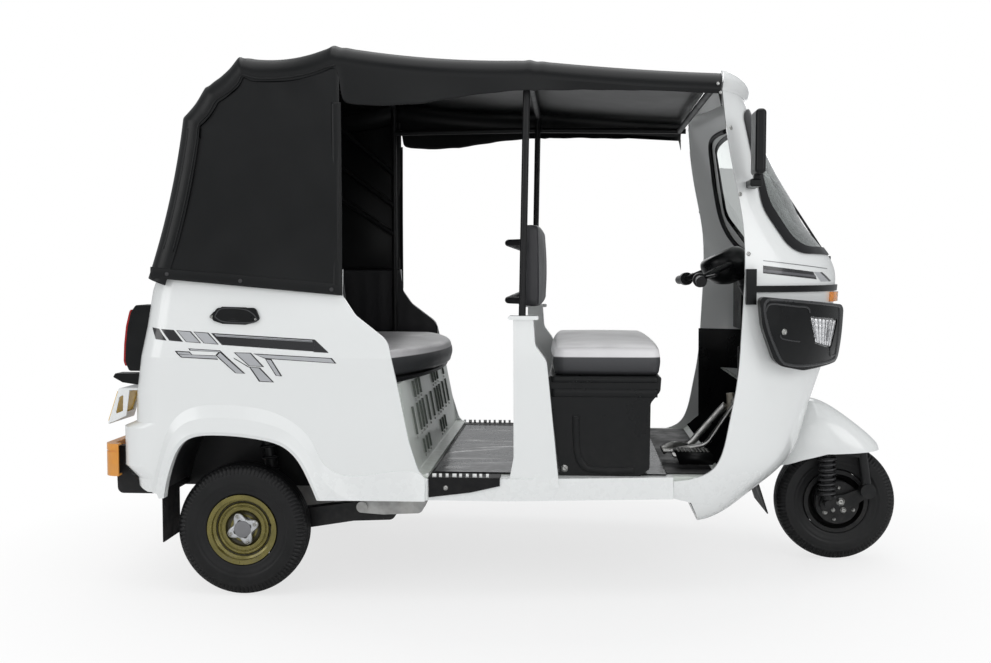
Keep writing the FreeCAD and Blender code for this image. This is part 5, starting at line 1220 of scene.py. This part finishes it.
studs, rivets = [], []
for sign in (-1, 1):
    way = (0, sign, 0)
    for share in (0.088, 0.477, 0.955):
        x = HEM_REAR[0] + (HEM_FRONT[0] - HEM_REAR[0]) * share
        z = HEM_REAR[1] - (HEM_REAR[1] - HEM_FRONT[1]) * share + 15
        profile = [(6.5, 0.0), (6.5, 1.6), (4.6, 3.0), (2.2, 3.4), (0.01, 3.4)]
        studs.append(turned(profile, (x, sign * (HALF_WIDTH + 1.2), z), way, 16))
    for x, z in ((1478, 1592), (1486, 1566)):
        profile = [(5.0, 0.0), (5.0, 1.4), (3.4, 2.6), (0.01, 3.0)]
        rivets.append(turned(profile, (x, sign * (HALF_WIDTH + 1.0), z), way, 16))
fit("canopy_rivets", rivets, plated_steel, "body")
fit("canopy_studs", studs, dark_hub, "body")
seams = []
stations = np.linspace(24, 500, 60).astype(int)
for sign in (-1, 1):
    rim = line[stations] - normal[stations] * (EDGE_RADIUS + 9)
    rim_route = [(a, sign * (HALF_WIDTH + 0.6), b) for a, b in rim if a < 325]
    rear = line[stations] - normal[stations] * (EDGE_RADIUS - 22)
    rear_route = [(a, sign * (HALF_WIDTH - 8), b) for a, b in rear if b < 1500 and a < 0]
    seams += [rod(rim_route, 2.6, 8, steps=3), rod(rear_route, 5.0, 10, steps=3)]
fit("canopy_seams", seams, canopy_vinyl, "body")


# Vent covers.
# Four thin bars stand across the mouth of each moulded vent on the rear quarters, inside a rolled edge,
# both in a dark grey lighter than the vent's black as a painted highlight. A thin flange lies round it
# against the panel, held by a bright screw at each end.

VENT_FOOT, VENT_SLOPE = 868, 0.14
bar_low, bar_gap = 876, 6.2
vent_edge = [
    (-70, 892), (-49, 913), (20, 911), (49, 898), (63, 881), (58, 873), (25, 869), (-40, 872), (-66, 884),
    (-70, 891),
]
flange_upper = np.array([(-88, 889), (-77, 902), (-49, 919), (28, 917), (49, 903), (69, 886)], float)
flange_lower = np.array([(-88, 885), (-72, 879), (-48, 866), (25, 863), (58, 871), (69, 881)], float)
bars, vent_screws, flanges = [], [], []
for sign in (-1, 1):
    for k in range(4):
        z = bar_low + bar_gap * k
        y = 636.4 - VENT_SLOPE * (z - bar_low)
        bar = [(-50, sign * y, z), (-10, sign * (y + 0.5), z - 0.5), (36, sign * y, z - 1.5)]
        bars.append(rod(bar, 1.7, 8))
    rim_route = [(x, sign * (638.6 - VENT_SLOPE * (z - VENT_FOOT)), z) for x, z in vent_edge]
    bars.append(rod(rim_route, 2.2, 8))
    for x, z in ((-81, 887), (58, 880)):
        place = (x, sign * (637.0 - VENT_SLOPE * (z - VENT_FOOT)), z)
        vent_screws.append(screw(place, (0, sign, 0.12), 3.6, 3.4))
    share = np.linspace(0, 1, 6)[:, None, None]
    sheet = flange_upper * (1 - share) + flange_lower * share
    y = sign * (633.5 - 0.125 * (sheet[..., 1] - VENT_FOOT))
    flanges.append(np.stack([sheet[..., 0], y, sheet[..., 1]], -1))
# Painted highlight: the bars and the vent's rolled edge are a grey lighter than its black plastic.
vent_bar_highlight_grey = finish("vent_bar_painted_highlight", (0.035, 0.037, 0.040), rough=(0.3, 0.4), patches=30.0)
fit("vent_bars", bars, vent_bar_highlight_grey, "body")
wall(fit("vent_flanges", flanges, moulded_black, "body", sheet=True), 0.005, 0.0)
fit("vent_screws", vent_screws, plated_steel, "body")


# Screws on the panels.
# Round heads hold the cowl to its frame along the door edge and the step trims to the sill. They are
# zinc-plated, and each sits on a small washer.

heads = []
for sign in (-1, 1):
    for x, z in ((1534, 1475), (1562, 1268), (1588, 1084)):
        place, way = on_outside(cowl_tree, x, z, sign)
        if place is not None:
            heads.append(screw(place, way, 4.6, 2.8))
    heads.append(screw((653, sign * 632.3, 356), (0, sign, 0), 5.0, 3.0))
fit("panel_screws", heads, plated_steel, "body")


# Underfoot.
# The new floor mats still wear their clear factory wrap, pulled into long folds that catch the light. A
# dark rubber sheet covers the toe board, and white teeth of a clip strip show above each step trim.

MAT_TOP = 389.5
wraps = []
rng = np.random.default_rng(7)
for low_x, high_x in ((606, 958), (985, 1345)):
    u, v = np.meshgrid(np.linspace(0, 1, 110), np.linspace(-1, 1, 170), indexing="ij")
    x = low_x + (high_x - low_x) * u
    y = 538 * v
    z = np.zeros_like(x)
    for _ in range(20):
        turn = rng.uniform(-0.5, 0.5)
        aside = y * math.cos(turn) + (x - low_x) * math.sin(turn) - rng.uniform(-540, 540)
        across = aside / rng.uniform(9, 30)
        fade = np.exp(-(((x - rng.uniform(low_x, high_x)) / rng.uniform(60, 170)) ** 2))
        z = z + rng.uniform(0.8, 2.4) * np.exp(-(across**2)) * fade
    held = np.clip(12 * (1 - np.abs(v)), 0, 1) * np.clip(12 * u, 0, 1) * np.clip(12 * (1 - u), 0, 1)
    wraps.append(np.stack([x, y, MAT_TOP + np.clip(z, 0, 7) * held], -1))
wrap_film = finish(
    "clear_wrap_on_mat", (0.012, 0.0125, 0.017), rough=(0.2, 0.36), coat=0.28, coat_rough=0.06, patches=9.0,
    grain=(60.0, 0.0, 0.4), specular=0.3,
)
mat_wrap = fit("mat_wrap", wraps, wrap_film, "body", sheet=True)
wall(mat_wrap, 0.0006, 1.0)

pan_tree = ray_tree("floor_pan")
toe = []
across = np.linspace(-548, 548, 138)
for z in np.linspace(402, 637, 26):
    found = [met_by_ray(pan_tree, 1380, y, z, (1.0, 0.0, 0.0))[0] for y in across]
    met = [(y, place[0]) for y, place in zip(across, found) if place is not None]
    ys, xs = np.array(met).T
    y = np.linspace(ys[0] + 10, ys[-1] - 10, 90)
    toe.append(np.stack([np.interp(y, ys, xs) - 4, y, 0 * y + z + 1], -1))
toe_rubber = finish(
    "dark_toe_board_rubber", (0.006, 0.006, 0.0065), rough=(0.42, 0.55), patches=12.0,
    grain=(500.0, 0.12, 0.4), specular=0.0,
)
wall(fit("toe_board_mat", [np.array(toe)], toe_rubber, "body", sheet=True), 0.003, 0.0)

teeth = []
for sign in (-1, 1):
    for k in range(10):
        rear = 590 + 21 * k
        front = rear + (13 if k % 3 == 1 else 9)
        corners = [[(rear, 401), (front, 401)], [(rear, 387), (front, 387)]]
        teeth.append(np.array([[(x, sign * 627.0, z) for x, z in row] for row in corners], float))
clip_white = finish("white_clip_plastic", (0.82, 0.83, 0.82), rough=(0.4, 0.5), patches=20.0)
wall(fit("trim_teeth", teeth, clip_white, "body", sheet=True), 0.0012, 1.0)


# Brake pedal and footrest.
# A broad plated lever comes down from the toe board to a thin oval pad, past a pale spacer block. Beside
# it stands a footrest of chequered plate: rows of small raised diamonds on a black box.

lever_y, spacer_y, rest_high = -196, -210, 431
lever = [(x, lever_y, z) for x, z in ((1437, 424), (1462, 446), (1486, 476), (1530, 526), (1573, 573))]
pad = [(1352, -240, 418), (1374, -232, 428), (1400, -222, 432), (1440, -204, 424)]
levers = [rod(lever, 13.0, 14, 0.35), rod(pad, 15.0, 16, 0.4)]
fit("pedal_lever", levers, plated_steel, "body")
spacer_route = [(x, spacer_y, z) for x, z in ((1585, 614), (1587, 590), (1588, 560), (1588, 532))]
spacer = rod(spacer_route, 14.0, 4, 0.8)
spacer_buff = finish("buff_spacer_block", (0.52, 0.48, 0.40), rough=(0.4, 0.5), patches=40.0)
fit("pedal_spacer", [spacer], spacer_buff, "body")
diamonds = []
for i in range(9):
    for j in range(6):
        x, y, z = 1396 + 12 * i, -352 + 15 * j, rest_high + 1
        diamonds.append(rod([(x, y, z), (x + 4, y + 3, z + 1.5), (x + 8, y + 6, z)], 1.8, 6, 1.0, 2))
fit("footrest_diamonds", diamonds, plated_steel, "body")
rest_rear, rest_front, rest_right, rest_left = 1386, 1506, -362, -262
rest_top = [
    [(rest_rear, rest_right, rest_high), (rest_rear, rest_left, rest_high)],
    [(rest_front, rest_right, rest_high), (rest_front, rest_left, rest_high)],
]
rest_side = [
    [(rest_rear, rest_right, rest_high), (rest_front, rest_right, rest_high)],
    [(rest_rear + 14, rest_right, 392), (rest_front + 24, rest_right, 392)],
]
rest_box = [np.array(rest_top, float), np.array(rest_side, float)]
wall(fit("footrest_box", rest_box, moulded_black, "body", sheet=True), 0.003, 0.0)
